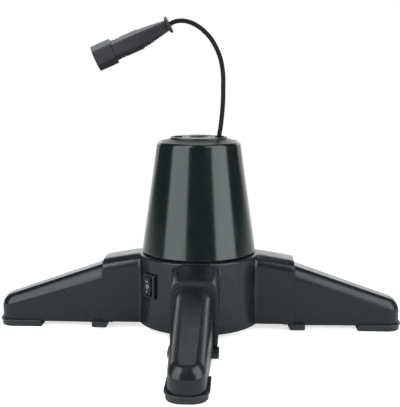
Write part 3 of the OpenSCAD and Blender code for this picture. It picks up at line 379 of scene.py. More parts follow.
def screw_tree():
    """Puts a cross-recess pan head, with its shank, on each point, along the point's normal."""
    tree, group_in, group_out = new_shape_tree(
        "Pan-head screws",
        head_radius=3.2 * MM,
        head_height=HEAD_H,
        shank_radius=1.5 * MM,
        shank_length=12 * MM,
    )
    points, radius, height, shank_radius, length = group_in.outputs[:5]
    rim = times(tree, height, HEAD_RIM_SHARE)
    disc = put(
        tree, "GeometryNodeMeshCylinder", {"Vertices": 28, "Radius": radius, "Depth": rim}
    )
    crown = put(
        tree,
        "GeometryNodeMeshCone",
        {
            "Vertices": 28,
            "Radius Top": times(tree, radius, HEAD_CROWN_SHARE),
            "Radius Bottom": radius,
            "Depth": math_node(tree, "SUBTRACT", height, rim),
        },
    )
    shank = put(
        tree, "GeometryNodeMeshCylinder", {"Vertices": 16, "Radius": shank_radius, "Depth": length}
    )
    low = lifted(tree, disc, times(tree, rim, 0.5))
    cut = add_node(
        tree,
        "GeometryNodeMeshBoolean",
        {"Mesh 1": together(tree, low, lifted(tree, crown, rim)), "Self Intersection": True},
        operation="DIFFERENCE",
        solver="EXACT",
    )
    for along, wide in (RECESS_SHARES, RECESS_SHARES[::-1]):
        size = {"X": times(tree, radius, along), "Y": times(tree, radius, wide), "Z": height}
        bar = put(tree, "GeometryNodeMeshCube", {"Size": put(tree, "ShaderNodeCombineXYZ", size)})
        tree.links.new(lifted(tree, bar, height), cut.inputs["Mesh 2"])
    shaft = lifted(tree, shank, times(tree, length, -0.5))
    facing = add_node(
        tree, "GeometryNodeInputNamedAttribute", {"Name": "facing"}, data_type="FLOAT_VECTOR"
    )
    turn = {"Vector": facing.outputs["Attribute"]}
    placed = {
        "Points": points,
        "Instance": together(tree, cut.outputs["Mesh"], shaft),
        "Rotation": put(tree, "FunctionNodeAlignRotationToVector", turn, axis="Z"),
    }
    screws = put(tree, "GeometryNodeInstanceOnPoints", placed)
    return end_shape_tree(tree, group_in, group_out, screws)


def ball_tree():
    """Puts a ball on each point."""
    tree, group_in, group_out = new_shape_tree("Bearing balls", ball_radius=3 * MM)
    points, radius = group_in.outputs[:2]
    shape = {"Segments": 24, "Rings": 12, "Radius": radius}
    ball = put(tree, "GeometryNodeMeshUVSphere", shape)
    balls = put(tree, "GeometryNodeInstanceOnPoints", {"Points": points, "Instance": ball})
    return end_shape_tree(tree, group_in, group_out, balls)


def made_once(builder):
    """The tree that a builder makes, made once."""
    key = builder.__name__
    for tree in bpy.data.node_groups:
        if tree.get("stand_tree") == key:
            return tree
    tree = builder()
    tree["stand_tree"] = key
    return tree


def grown(name, points, edges, builder, facings=None, **values):
    """The mesh that a shape tree grows from points and edges. Its inputs are named in values."""
    base = bpy.data.meshes.new(name)
    base.from_pydata([tuple(p) for p in points], edges, [])
    if facings is not None:
        attribute = base.attributes.new("facing", "FLOAT_VECTOR", "POINT")
        for item, direction in zip(attribute.data, facings):
            item.vector = direction
    seed = new_object(name, base)
    modifier = seed.modifiers.new("Shape", "NODES")
    modifier.node_group = made_once(builder)
    labels = {label(key): value for key, value in values.items()}
    for item in modifier.node_group.interface.items_tree:
        if item.in_out == "INPUT" and item.name in labels:
            modifier[item.identifier] = labels[item.name]
    bpy.context.view_layer.update()
    evaluated = seed.evaluated_get(bpy.context.evaluated_depsgraph_get())
    mesh = bpy.data.meshes.new_from_object(evaluated)
    mesh.name = name
    bpy.data.objects.remove(seed)
    bpy.data.meshes.remove(base)
    if not mesh.polygons:
        raise RuntimeError(f"the shape tree of {name} made no faces")
    return mesh


# ------------------------------------------------------------------ outlines and shells


def softened(corners, steps=5):
    """A closed outline with each corner (a, b, radius) rounded."""
    outline = []
    count = len(corners)
    for i, (a, b, radius) in enumerate(corners):
        corner = Vector((a, b))
        before = Vector(corners[i - 1][:2]) - corner
        after = Vector(corners[(i + 1) % count][:2]) - corner
        if radius <= 0:
            outline.append(corner)
            continue
        turn = math.pi - before.angle(after)
        reach = min(
            radius * math.tan(turn / 2), 0.48 * before.length, 0.48 * after.length
        )
        p, q = corner + before.normalized() * reach, corner + after.normalized() * reach
        for k in range(steps + 1):
            t = k / steps
            outline.append((1 - t) ** 2 * p + 2 * t * (1 - t) * corner + t * t * q)
    return outline


def circle(radius, steps, start=0.0):
    angles = [start + math.tau * k / steps for k in range(steps)]
    return [(radius * math.cos(a), radius * math.sin(a)) for a in angles]


def arc(centre, radius, first, sweep, steps, skip=0):
    """Points on an arc, from its first angle through its sweep, without skip at each end."""
    angles = [first + sweep * k / steps for k in range(skip, steps + 1 - skip)]
    return [(centre[0] + radius * math.cos(a), centre[1] + radius * math.sin(a)) for a in angles]


def at_height(outline, z):
    return [(x, y, z) for x, y in outline]


def both_sides(half):
    """A whole outline in plan from its half on the +Y side."""
    return [(x, -y) for x, y in reversed(half)] + half


def box_corners(half_w, low, high, low_round, high_round):
    """The corners of an upright box's section, for softened()."""
    return [
        (-half_w, low, low_round), (half_w, low, low_round),
        (half_w, high, high_round), (-half_w, high, high_round),
    ]


def loop_edges(start, count):
    return [(start + i, start + (i + 1) % count) for i in range(count)]


def turned_shell(name, corners, finish, steps=None):
    """A turned shell: its corners are (radius, z, rounding), anticlockwise."""
    outline = softened(corners)
    points = [(r, 0, z) for r, z in outline]
    return grown(
        name, points, loop_edges(0, len(points)), turned_tree,
        steps=steps or sizes().turned_steps, finish=finish,
    )


def ring_shell(name, rings, closed=False):
    """A mesh through rings with the same number of points, capped or closed on itself."""
    mesh = bpy.data.meshes.new(name)
    shell = bmesh.new()
    rows = [[shell.verts.new(p) for p in ring] for ring in rings]
    count = len(rows[0])
    pairs = list(zip(rows, rows[1:]))
    if closed:
        pairs.append((rows[-1], rows[0]))
    for low, high in pairs:
        for i in range(count):
            j = (i + 1) % count
            shell.faces.new((low[i], low[j], high[j], high[i]))
    if not closed:
        shell.faces.new(reversed(rows[0]))
        shell.faces.new(rows[-1])
    bmesh.ops.recalc_face_normals(shell, faces=shell.faces)
    shell.to_mesh(mesh)
    shell.free()
    return mesh


def box_mesh(name, low, high):
    x0, y0, z0 = low
    x1, y1, z1 = high
    lower = [(x0, y0, z0), (x1, y0, z0), (x1, y1, z0), (x0, y1, z0)]
    return ring_shell(name, [lower, [(x, y, z1) for x, y, _ in lower]])


def tube_mesh(name, centre, z0, z1, outer, inner, steps=24):
    def ring(radius, z):
        return [(centre[0] + x, centre[1] + y, z) for x, y in circle(radius, steps)]

    return ring_shell(
        name, [ring(inner, z0), ring(outer, z0), ring(outer, z1), ring(inner, z1)], closed=True
    )


def joined(name, meshes, matrix=None):
    """One mesh from several closed ones, turned outwards and put in place."""
    whole = bmesh.new()
    for mesh in meshes:
        whole.from_mesh(mesh)
        bpy.data.meshes.remove(mesh)
    if matrix is not None:
        bmesh.ops.transform(whole, matrix=matrix, verts=whole.verts)
    bmesh.ops.recalc_face_normals(whole, faces=whole.faces)
    result = bpy.data.meshes.new(name)
    whole.to_mesh(result)
    whole.free()
    return result


def piece(name, mesh, body, finish, nodes=(), edge=0.0, sharp=32):
    """A finished piece: smooth, with softened edges, riding on its body."""
    obj = new_object(name, mesh)
    mesh.materials.clear()
    mesh.materials.append(finish)
    mesh.shade_smooth()
    mesh.set_sharp_from_angle(angle=math.radians(sharp))
    if edge:
        bevel = obj.modifiers.new("Edges", "BEVEL")
        bevel.width = edge
        bevel.segments = 3
        bevel.limit_method = "ANGLE"
        bevel.angle_limit = math.radians(sharp)
    normals = obj.modifiers.new("Normals", "WEIGHTED_NORMAL")
    normals.keep_sharp = not edge
    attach(obj, body)
    if nodes:
        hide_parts(*nodes)
    return obj


def turn_about_z(degrees):
    return Matrix.Rotation(math.radians(degrees), 4, "Z")


# ------------------------------------------------------------------ shared surface effects


def new_effect(name, outputs, **values):
    """A shader group with a Vector, one input for each value and the named outputs."""
    inputs = [("Vector", "NodeSocketVector", None)]
    for key, value in values.items():
        kind = "NodeSocketVector" if isinstance(value, tuple) else "NodeSocketFloat"
        inputs.append((label(key), kind, value))
    return new_tree(
        name, "ShaderNodeTree", inputs, [(title, "NodeSocketFloat") for title in outputs]
    )


def remapped(tree, value, low, high, to_low=0.0, to_high=1.0, **settings):
    """A value between low and high, taken to a mask or to another range."""
    ends = {"From Min": low, "From Max": high, "To Min": to_low, "To Max": to_high}
    node = add_node(tree, "ShaderNodeMapRange", {"Value": value, **ends}, **settings)
    return node.outputs["Result"]


def noise(tree, vector, scale, detail, **inputs):
    noise_inputs = {"Vector": vector, "Scale": scale, "Detail": detail, **inputs}
    return put(tree, "ShaderNodeTexNoise", noise_inputs)


def split(tree, vector):
    return add_node(tree, "ShaderNodeSeparateXYZ", {0: vector}).outputs


def end_effect(tree, group_out, **values):
    for title, value in values.items():
        tree.links.new(value, group_out.inputs[title])
    return tree


def grain_group():
    """Moulded grain: a height for a bump, and slow changes of tone and gloss."""
    tree, group_in, group_out = new_effect(
        "Moulded grain", ("Height", "Tone", "Gloss"), grain_scale=1400.0, patch_scale=18.0
    )
    vector, grain, patch = group_in.outputs[:3]
    cells = {"Vector": vector, "Scale": times(tree, grain, 0.6)}
    pits = add_node(tree, "ShaderNodeTexVoronoi", cells)
    fine = noise(tree, vector, grain, 2.0)
    patches = noise(tree, vector, patch, 4.0)
    rubbed = noise(tree, vector, times(tree, patch, 3.1), 5.0, Distortion=0.6)
    return end_effect(
        tree,
        group_out,
        Height=math_node(tree, "ADD", fine, times(tree, pits.outputs["Distance"], 0.1)),
        Tone=remapped(tree, patches, 0.32, 0.68),
        Gloss=remapped(tree, rubbed, 0.32, 0.68),
    )


def wear_group():
    """Rubbed edges: a mask along sharp outer edges, broken up by noise."""
    tree, group_in, group_out = new_effect("Rubbed edges", ("Mask",), amount=0.3)
    vector, amount = group_in.outputs[:2]
    pointed = tree.nodes.new("ShaderNodeNewGeometry").outputs["Pointiness"]
    broken = remapped(tree, noise(tree, vector, 160.0, 3.0), 0.42, 0.62)
    mask = times(tree, remapped(tree, pointed, 0.53, 0.62), broken)
    return end_effect(tree, group_out, Mask=times(tree, mask, amount))


def dust_group():
    """Light dust: a speckled mask on faces that look up."""
    tree, group_in, group_out = new_effect("Light dust", ("Mask",), amount=0.1)
    vector, amount = group_in.outputs[:2]
    normal = split(tree, tree.nodes.new("ShaderNodeTexCoord").outputs["Normal"])
    speckle = remapped(tree, noise(tree, vector, 55.0, 6.0, Roughness=0.7), 0.4, 0.75)
    mask = times(tree, remapped(tree, normal["Z"], 0.55, 1.0), speckle)
    return end_effect(tree, group_out, Mask=times(tree, mask, amount))


def ring_mark_group():
    """Faint rings around the axis, left by handling, between two heights."""
    tree, group_in, group_out = new_effect("Ring marks", ("Mask",), low=0.12, high=0.15)
    vector, low, high = group_in.outputs[:3]
    z = split(tree, vector)["Z"]
    flat = put(tree, "ShaderNodeMapping", {"Vector": vector, "Scale": (6.0, 6.0, 620.0)})
    thin = remapped(tree, noise(tree, flat, 1.0, 2.0), 0.6, 0.75)
    above = remapped(tree, z, low, math_node(tree, "ADD", low, 6 * MM))
    below = remapped(tree, z, high, math_node(tree, "SUBTRACT", high, 8 * MM))
    return end_effect(tree, group_out, Mask=times(tree, times(tree, above, below), thin))


def brushed_group():
    """Fine streaks along one direction, for rolled or turned metal."""
    tree, group_in, group_out = new_effect(
        "Fine streaks", ("Height", "Gloss"), stretch=(60, 60, 1800)
    )
    vector, stretch = group_in.outputs[:2]
    drawn = put(tree, "ShaderNodeVectorMath", {0: vector, 1: stretch}, operation="MULTIPLY")
    streaks = noise(tree, drawn, 1.0, 3.0)
    return end_effect(tree, group_out, Height=streaks, Gloss=streaks)


def effect(tree, builder, **inputs):
    """One of the shared effects, placed in a material with its own values."""
    labels = {label(key): value for key, value in inputs.items()}
    return add_node(tree, "ShaderNodeGroup", labels, node_tree=made_once(builder)).outputs


def blank_material(name):
    material = bpy.data.materials.new(name)
    material.use_nodes = True
    tree = material.node_tree
    place = tree.nodes.new("ShaderNodeTexCoord").outputs
    return material, tree, tree.nodes["Principled BSDF"], place


def finish_surface(tree, surface, tone, gloss, height, strength, distance):
    """Links a material's colour, roughness and bump."""
    relief = {"Height": height, "Strength": strength, "Distance": distance}
    bump = put(tree, "ShaderNodeBump", relief)
    for socket, title in ((tone, "Base Color"), (gloss, "Roughness"), (bump, "Normal")):
        tree.links.new(socket, surface.inputs[title])


def shade(colour, factor):
    return (*(min(1.0, c * factor) for c in colour), 1.0)


def mixed(tree, factor, a, b):
    """A colour between a and b, by a mask."""
    inputs = {"Factor": factor, 6: a, 7: b}
    return add_node(tree, "ShaderNodeMix", inputs, data_type="RGBA").outputs[2]


def moulded_plastic(name, colour, roughness, spread=0.05, grain=1400.0, depth=0.02,
                    wear=0.25, dust=0.1, marks=None, dull_above=None,
                    sheen=0.5, upper_light=None):
    """Moulded plastic with grain, uneven gloss, rubbed edges and light dust.

    marks gives the heights of its ring marks, dull_above the height over which it is duller,
    and the last argument the tone of the faces that look up: a painted highlight that makes upward
    faces lighter, as if light fell on them from above.
    """
    material, tree, surface, places = blank_material(name)
    place = places["Object"]
    skin = effect(tree, grain_group, vector=place, grain_scale=grain)
    rubbed = effect(tree, wear_group, vector=place, amount=wear)["Mask"]
    dusty = effect(tree, dust_group, vector=place, amount=dust)["Mask"]
    tone = mixed(tree, skin["Tone"], shade(colour, 0.9), shade(colour, 1.1))
    tone = mixed(tree, rubbed, tone, shade(colour, 3.2))
    tone = mixed(tree, dusty, tone, DUST_TONE)
    if upper_light:
        # Painted highlight: faces that look up take a lighter tone, as if lit from above.
        above = remapped(tree, split(tree, places["Normal"])["Z"], 0.4, 0.62)
        tone = mixed(tree, above, tone, (*upper_light, 1.0))
    gloss = remapped(tree, skin["Gloss"], 0.0, 1.0, roughness - spread, roughness + spread)
    gloss = math_node(tree, "ADD", gloss, times(tree, dusty, 0.5))
    if marks:
        rings = effect(tree, ring_mark_group, vector=place, low=marks[0], high=marks[1])["Mask"]
        gloss = math_node(tree, "ADD", gloss, times(tree, rings, 0.08))
        tone = mixed(tree, rings, tone, shade(colour, 1.2))
    if dull_above:
        z = split(tree, place)["Z"]
        dull = remapped(tree, z, dull_above, dull_above + 1.5 * MM, 0.0, 0.25)
        gloss = math_node(tree, "ADD", gloss, dull)
    finish_surface(tree, surface, tone, gloss, skin["Height"], depth, 0.4 * MM)
    surface.inputs["Specular IOR Level"].default_value = sheen
    return material


def worked_metal(name, colour, roughness, stretch=(60, 60, 1800)):
    """Turned, drawn or plated metal with fine streaks."""
    material, tree, surface, places = blank_material(name)
    streaks = effect(tree, brushed_group, vector=places["Object"], stretch=stretch)
    skin = effect(tree, grain_group, vector=places["Object"], grain_scale=600.0)
    tone = mixed(tree, skin["Tone"], shade(colour, 0.82), shade(colour, 1.05))
    gloss = remapped(
        tree, streaks["Gloss"], 0.0, 1.0, max(0.05, roughness - 0.1), roughness + 0.12
    )
    finish_surface(tree, surface, tone, gloss, streaks["Height"], 0.12, 0.2 * MM)
    surface.inputs["Metallic"].default_value = 1.0
    return material


MADE_FINISHES = {}


def finishes():
    """Every finish by name, made once."""
    if not MADE_FINISHES:
        tint = colours()
        MADE_FINISHES.update({
            "drum": moulded_plastic(
                "Glossy drum plastic", tint.drum, 0.16, 0.03, 900.0, 0.012, 0.1, 0.03,
                marks=(0.118, 0.16), dull_above=DRUM_EDGE_Z,
            ),
            "hub": moulded_plastic(
                "Satin hub plastic", tint.hub, 0.27, 0.03, 1500.0, 0.003, 0.15, 0.03,
                sheen=0.42
            ),
            "foot": moulded_plastic("Matt foot plastic", tint.foot, 0.34, 0.05, 1300.0, 0.01),
            "black": moulded_plastic("Black switch plastic", tint.black, 0.36, 0.05, 1600.0, 0.05),
            # The connector's upward faces get a pale grey painted highlight, standing in for light
            # from above.
            "connector": moulded_plastic(
                "Soft connector plastic", tint.connector, 0.45, 0.05, 1100.0, 0.03, 0.1, 0.02,
                sheen=0.4, upper_light=(0.135, 0.135, 0.14),
            ),
            "lead": moulded_plastic(
                "Lead sheath", tint.lead, 0.62, 0.05, 1000.0, 0.03, 0.0, 0.02, sheen=0.2
            ),
            "nylon": moulded_plastic(
                "Natural nylon", (0.62, 0.60, 0.54), 0.48, 0.05, 900.0, 0.04, 0.0, 0.03
            ),
            "mark": moulded_plastic("Printed mark", tint.mark, 0.5, 0.04, 1800.0, 0.04, 0.0, 0.0),
            "zinc": worked_metal("Zinc-plated steel", (0.48, 0.50, 0.52), 0.34),
            "steel": worked_metal("Polished steel", (0.60, 0.60, 0.61), 0.16, (900, 900, 60)),
            "brass": worked_metal("Drawn brass", (0.72, 0.52, 0.20), 0.26),
        })
    return MADE_FINISHES


# ------------------------------------------------------------------ stage


def add_softbox(name, place, aim, width, height, radiance):
    """An area light whose face has the given radiance."""
    light = bpy.data.lights.new(name, "AREA")
    light.shape = "RECTANGLE"
    light.size, light.size_y = width, height
    light.energy = radiance * math.pi * width * height
    light.color = LAMP_TINT
    lamp = new_object(name, light)
    lamp.location = place
    lamp.rotation_euler = (Vector(aim) - Vector(place)).to_track_quat("-Z", "Y").to_euler()


def around_axis(turn, distance, z):
    """A place seen from the axis, turned from the camera's side towards the right."""
    angle = math.radians(-90 + turn) + CAMERA_TURN
    return (distance * math.cos(angle), distance * math.sin(angle), z)


# Each lamp: name, the setting with its level, place, aim, width, height and radiance
LAMPS = (
    ("Left softbox", "left_box", around_axis(-49, 1.7, 1.05), (0, 0, 1.05), 1.45, 2.1, 3.3),
    ("Right softbox", "right_box", around_axis(56, 1.7, 1.05), (0, 0, 1.05), 1.35, 2.1, 3.7),
    ("Left wing", "front_box", around_axis(-27, 1.44, 1.06), (0, 0, 0.1), 0.45, 0.9, 3.3),
    ("Right wing", "front_box", around_axis(27, 1.44, 1.06), (0, 0, 0.1), 0.45, 0.9, 3.3),
    ("Top softbox", "top_box", (0, 0.1, 1.5), (0, -0.2, 0.1), 0.9, 0.36, 2.2),
    ("Back softbox", "back_box", (0, 0.75, 1.35), (0, -0.2, 0.06), 0.5, 0.5, 1.5),
)


def make_world(fill):
    """White behind the stand, and a dim room for its reflections and its soft light."""
    world = bpy.data.worlds.new("Studio")
    bpy.context.scene.world = world
    world.use_nodes = True
    tree = world.node_tree
    tree.nodes.clear()
    direction = split(tree, tree.nodes.new("ShaderNodeTexCoord").outputs["Generated"])
    behind = remapped(tree, direction["Y"], 0.62, 0.7)
    raised = remapped(tree, direction["Z"], -0.02, 0.07, 0.7, 1.95)
    upper_light = remapped(tree, direction["Z"], 0.25, 0.5, 1.0, 0.32)
    backdrop = times(tree, behind, times(tree, raised, upper_light))
    paths = tree.nodes.new("ShaderNodeLightPath").outputs
    glossy = paths["Is Glossy Ray"]
    dim = put(tree, "ShaderNodeMix", {0: glossy, 2: fill, 3: 0.0})
    mirrored = times(tree, glossy, math_node(tree, "MAXIMUM", backdrop, 0.08))
    clear = math_node(tree, "MAXIMUM", paths["Is Camera Ray"], paths["Is Transmission Ray"])
    level = math_node(tree, "ADD", dim, mirrored)
    room = put(tree, "ShaderNodeBackground", {"Color": (0.97, 0.985, 1.0, 1), "Strength": level})
    white = put(tree, "ShaderNodeBackground", {"Color": WHITE, "Strength": 1.0})
    both = put(tree, "ShaderNodeMixShader", {0: clear, 1: room, 2: white})
    out = tree.nodes.new("ShaderNodeOutputWorld")
    tree.links.new(both, out.inputs["Surface"])


def make_floor(size):
    """A pale floor that turns into plain white a little way from the stand."""
    half = size / 2
    corners = [(-half, -half), (half, -half), (half, half), (-half, half)]
    mesh = ring_shell("floor", [at_height(corners, z) for z in (-0.02, -0.0002)])
    floor = new_object("floor", mesh)
    material = bpy.data.materials.new("Pale floor")
    material.use_nodes = True
    tree = material.node_tree
    tree.nodes.clear()
    place = tree.nodes.new("ShaderNodeTexCoord").outputs["Object"]
    reach = add_node(tree, "ShaderNodeVectorMath", {0: place}, operation="LENGTH").outputs["Value"]
    far = remapped(tree, reach, 0.3, 0.6, interpolation_type="SMOOTHSTEP")
    paper = put(tree, "ShaderNodeBsdfDiffuse", {"Color": PAPER_TONE, "Roughness": 0.4})
    paths = tree.nodes.new("ShaderNodeLightPath").outputs
    seen, glossy = paths["Is Camera Ray"], paths["Is Glossy Ray"]
    backward = math_node(tree, "DIVIDE", split(tree, place)["Y"], reach)
    mirrored = times(tree, glossy, times(tree, remapped(tree, backward, 0.68, 0.78), far))
    glow = put(tree, "ShaderNodeEmission", {"Color": WHITE, "Strength": times(tree, seen, 0.68)})
    near = put(tree, "ShaderNodeAddShader", {0: paper, 1: glow})
    level = math_node(tree, "ADD", 1.0, times(tree, glossy, 0.05))
    white = put(tree, "ShaderNodeEmission", {"Color": WHITE, "Strength": level})
    share = math_node(tree, "MAXIMUM", mirrored, times(tree, seen, far))
    both = put(tree, "ShaderNodeMixShader", {0: share, 1: near, 2: white})
    out = tree.nodes.new("ShaderNodeOutputMaterial")
    tree.links.new(both, out.inputs["Surface"])
    mesh.materials.append(material)


def make_camera():
    """A camera that sees the stand as the photograph shows it."""
    data = bpy.data.cameras.new("Photograph")
    data.sensor_fit = "AUTO"
    data.sensor_width = 36
    data.lens = PHOTO_FOCAL_PX * data.sensor_width / max(PHOTO_SIZE)
    camera = new_object("Photograph", data)
    camera.location = (
        CAMERA_DISTANCE * math.sin(CAMERA_TURN),
        -CAMERA_DISTANCE * math.cos(CAMERA_TURN),
        CAMERA_HEIGHT,
    )
    turn = Matrix.Rotation(CAMERA_TURN + CAMERA_ASIDE, 4, "Z")
    camera.rotation_euler = (
        turn @ Matrix.Rotation(math.pi / 2 - CAMERA_PITCH, 4, "X")
    ).to_euler()
    bpy.context.scene.camera = camera


class TREESTAND_OT_stage(bpy.types.Operator):
    """Sets up the camera, the pale floor, the softboxes and the world"""

    bl_idname = "treestand.stage"
    bl_label = "Stage"

    def execute(self, context):
        stage = context.scene.tree_stand_stage
        context.scene.view_settings.view_transform = "Standard"
        make_camera()
        make_world(stage.fill)
        make_floor(stage.floor_size)
        for name, setting, place, aim, width, height, radiance in LAMPS:
            add_softbox(name, place, aim, width, height, radiance * getattr(stage, setting))
        return {"FINISHED"}


# ------------------------------------------------------------------ outlet lead


def along_connector(s, n, y, tilt=CONNECTOR_TILT, start=CONNECTOR_FACE):
    """A point s along the connector, n towards its upper side and y across it."""
    return start + Vector(
        (
            s * math.cos(tilt) - n * math.sin(tilt),
            y,
            s * math.sin(tilt) + n * math.cos(tilt),
        )
    )


def octagon_ring(place, s, half_depth, half_height, cut, soft=0.35):
    """An octagon across the connector, with softened corners. cut is (depth, height)."""
    d, h = half_depth, half_height
    cd, ch = cut
    corners = [
        (d, h - ch), (d - cd, h), (-d + cd, h), (-d, h - ch),
        (-d, -h + ch), (-d + cd, -h), (d - cd, -h), (d, -h + ch),
    ]
    ring = []
    for i, (y, n) in enumerate(corners):
        corner = Vector((y, n))
        before, after = Vector(corners[i - 1]), Vector(corners[(i + 1) % 8])
        reach = soft * min((before - corner).length, (after - corner).length, 4 * MM)
        p = corner + (before - corner).normalized() * reach
        q = corner + (after - corner).normalized() * reach
        for point in (p, (p + q + 2 * corner) / 4, q):
            ring.append(place(s, point[1], point[0]))
    return ring


def round_ring(place, s, radius, count=24, start=0.0):
    return [place(s, n, y) for y, n in circle(radius, count, start)]


class TREESTAND_OT_lead(bpy.types.Operator):
    """Makes the outlet lead with its connector"""

    bl_idname = "treestand.lead"
    bl_label = "Outlet lead"

    def execute(self, context):
        finish = finishes()
        shell = self.make_shell(finish)
        insert = self.make_insert(finish)
        tail = self.make_tail(finish)
        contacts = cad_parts["connector_contacts"]
        self.make_lead(context, finish, [shell, insert, tail, contacts])
        return {"FINISHED"}

    def make_lead(self, context, finish, riders):
        tail_axis = Vector((math.cos(TAIL_TILT), 0, math.sin(TAIL_TILT)))
        end = along_connector(BODY_END, 0, 0) + TAIL_LEN * tail_axis
        points = [*LEAD_ROUTE, end + 6 * MM * tail_axis, end]
        diameter = context.scene.tree_stand_sizes.lead_diameter
        curve = bpy.data.curves.new("outlet_lead_sheath", "CURVE")
        curve.dimensions = "3D"
        curve.bevel_depth = diameter / 2
        curve.bevel_resolution = 6
        curve.resolution_u = 10
        curve.use_fill_caps = True
        spline = curve.splines.new("BEZIER")
        spline.bezier_points.add(len(points) - 1)
        for knot, point in zip(spline.bezier_points, points):
            knot.co = point
            knot.handle_left_type = knot.handle_right_type = "AUTO"
        last = spline.bezier_points[-1]
        last.handle_left_type = last.handle_right_type = "FREE"
        last.handle_left = end + 2.4 * MM * tail_axis
        last.handle_right = end - 2.4 * MM * tail_axis
        curve.materials.append(finish["lead"])
        lead = new_object("outlet_lead_sheath", curve)
        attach(lead, "drum")
        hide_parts("outlet_lead")
        length = sum((b - a).length for a, b in zip(points, points[1:]))

    def make_shell(self, finish):
        hood_cut, body_cut, inner_cut = (6.5 * MM, 8 * MM), (5.5 * MM, 6 * MM), (5.5 * MM, 7 * MM)
        recess = (7.9 * MM, 14.3 * MM, inner_cut)
        rings = [(24.6 * MM, *recess), (0.8 * MM, *recess)]
        rings.append((0.2 * MM, 8.2 * MM, 14.6 * MM, inner_cut))
        for s, inset in ((0, 0.9), (0.25, 0.3), (0.9, 0), (25.6, 0), (26.6, 0.3), (27, 1.0)):
            rings.append((s * MM, (10.5 - inset) * MM, (16.9 - inset) * MM, hood_cut))
        body = [(27.2, 0.4), (28.2, 0), (32.7, 0), (33.0, 0.25), (33.3, 1), (34.6, 1)]
        body += [(34.9, 0.25), (35.2, 0), (37.2, 0), (37.5, 0.25), (37.8, 1), (39.1, 1)]
        body += [(39.4, 0.25), (39.7, 0), (64.6, 0), (65, 0.3)]
        for s, inset in body:
            depth = 9 * MM - (0.3 * MM if s > 64.9 or s < 27.5 else 0)
            cut = (body_cut[0], body_cut[1] - inset * MM)
            rings.append((s * MM, depth, (13.4 - inset) * MM, cut))
        mesh = ring_shell(
            "connector_hood", [octagon_ring(along_connector, *ring) for ring in rings]
        )
        return piece(
            "connector_hood", mesh, "drum", finish["connector"], ["connector_shell"],
            sharp=40,
        )

    def make_insert(self, finish):
        """The insert fills the hood behind its recess. Its two pin holes are blind wells."""
        face, depth, hole_depth, steps = 8 * MM, 16 * MM, 9 * MM, 20
        section = (7.8 * MM, 14.2 * MM, (5.5 * MM, 7 * MM))
        shell = bmesh.new()

        def walled(near, far):
            """A wall from one ring to another, closed at its far end. Gives its near edges."""
            near, far = [[shell.verts.new(p) for p in ring] for ring in (near, far)]
            pairs = [(i, (i + 1) % len(near)) for i in range(len(near))]
            for i, j in pairs:
                shell.faces.new((near[i], near[j], far[j], far[i]))
            shell.faces.new(far)
            return [shell.edges.get((near[i], near[j])) for i, j in pairs]

        edges = walled(*(octagon_ring(along_connector, s, *section) for s in (face, face + depth)))
        for side in (-1, 1):

            def hole(s, n, y, offset=side * 9.5 * MM):
                return along_connector(s, n + offset, y)

            ends = (face, face + hole_depth)
            edges += walled(*(round_ring(hole, s, 2.4 * MM, steps) for s in ends))
        bmesh.ops.triangle_fill(shell, use_beauty=True, use_dissolve=False, edges=edges)
        bmesh.ops.recalc_face_normals(shell, faces=shell.faces)
        mesh = bpy.data.meshes.new("connector_pin_block")
        shell.to_mesh(mesh)
        shell.free()
        return piece(
            "connector_pin_block", mesh, "drum", finish["black"], ["connector_insert"],
            sharp=40,
        )

    def make_tail(self, finish):
        start = along_connector(BODY_END, 0, 0)
        bend, neck = 12 * MM, 38.6 * MM

        def place(s, n, y):
            """s runs from the body's end. The tail bends to its own tilt over its first part."""
            tilt = CONNECTOR_TILT + (TAIL_TILT - CONNECTOR_TILT) * min(1.0, s / bend)
            return along_connector(s, n, y, tilt, start)

        rings = []
        grooves = (1.2, 2.4, 4.4, 5.6)
        for s in (0.0, 0.4, 0.9, 1.2, 2.4, 2.7, 4.1, 4.4, 5.6, 5.9, 10, 16, 24, 32, 38):
            share = s * MM / neck
            inset = 0.9 * MM if s in grooves else 0.0
            half_depth = (8.7 + (5.3 - 8.7) * share) * MM
            half_height = (13.1 + (7.4 - 13.1) * share) * MM - inset
            cut = ((5.3 - 2.5 * share) * MM, (5.8 - 2.8 * share) * MM - inset)
            rings.append(octagon_ring(place, s * MM, half_depth, half_height, cut, 0.48))
        for s, radius in (
            (38.7, 7.0), (39.2, 8.6), (39.5, 10.2), (40.1, 11.0), (41.2, 11.6), (42.5, 11.6),
            (43.3, 11.0), (43.6, 10.2), (43.4, 5.0), (42.6, 3.6), (42.4, 3.05),
        ):
            rings.append(round_ring(place, s * MM, radius * MM, 24, math.radians(11)))
        mesh = ring_shell("connector_strain_relief", rings)
        return piece(
            "connector_strain_relief", mesh, "drum", finish["connector"], ["connector_tail"],
            sharp=50,
        )


# ------------------------------------------------------------------ drum


def kidney_outline(turn, steps=12):
    """The outline of a lead slot in plan, anticlockwise: two arcs and two round ends."""
    half, inner_r, outer_r = SLOT_HALF_ANGLE, SLOT_MID_R - SLOT_HALF_W, SLOT_MID_R + SLOT_HALF_W
    right, left = [(SLOT_MID_R * math.cos(a), SLOT_MID_R * math.sin(a)) for a in (half, -half)]
    points = arc((0, 0), outer_r, -half, 2 * half, steps)
    points += arc(right, SLOT_HALF_W, half, math.pi, steps, 1)
    points += arc((0, 0), inner_r, half, -2 * half, steps)
    points += arc(left, SLOT_HALF_W, math.pi - half, math.pi, steps, 1)
    turned = turn_about_z(turn)
    return [turned @ Vector(point) for point in at_height(points, 0)]


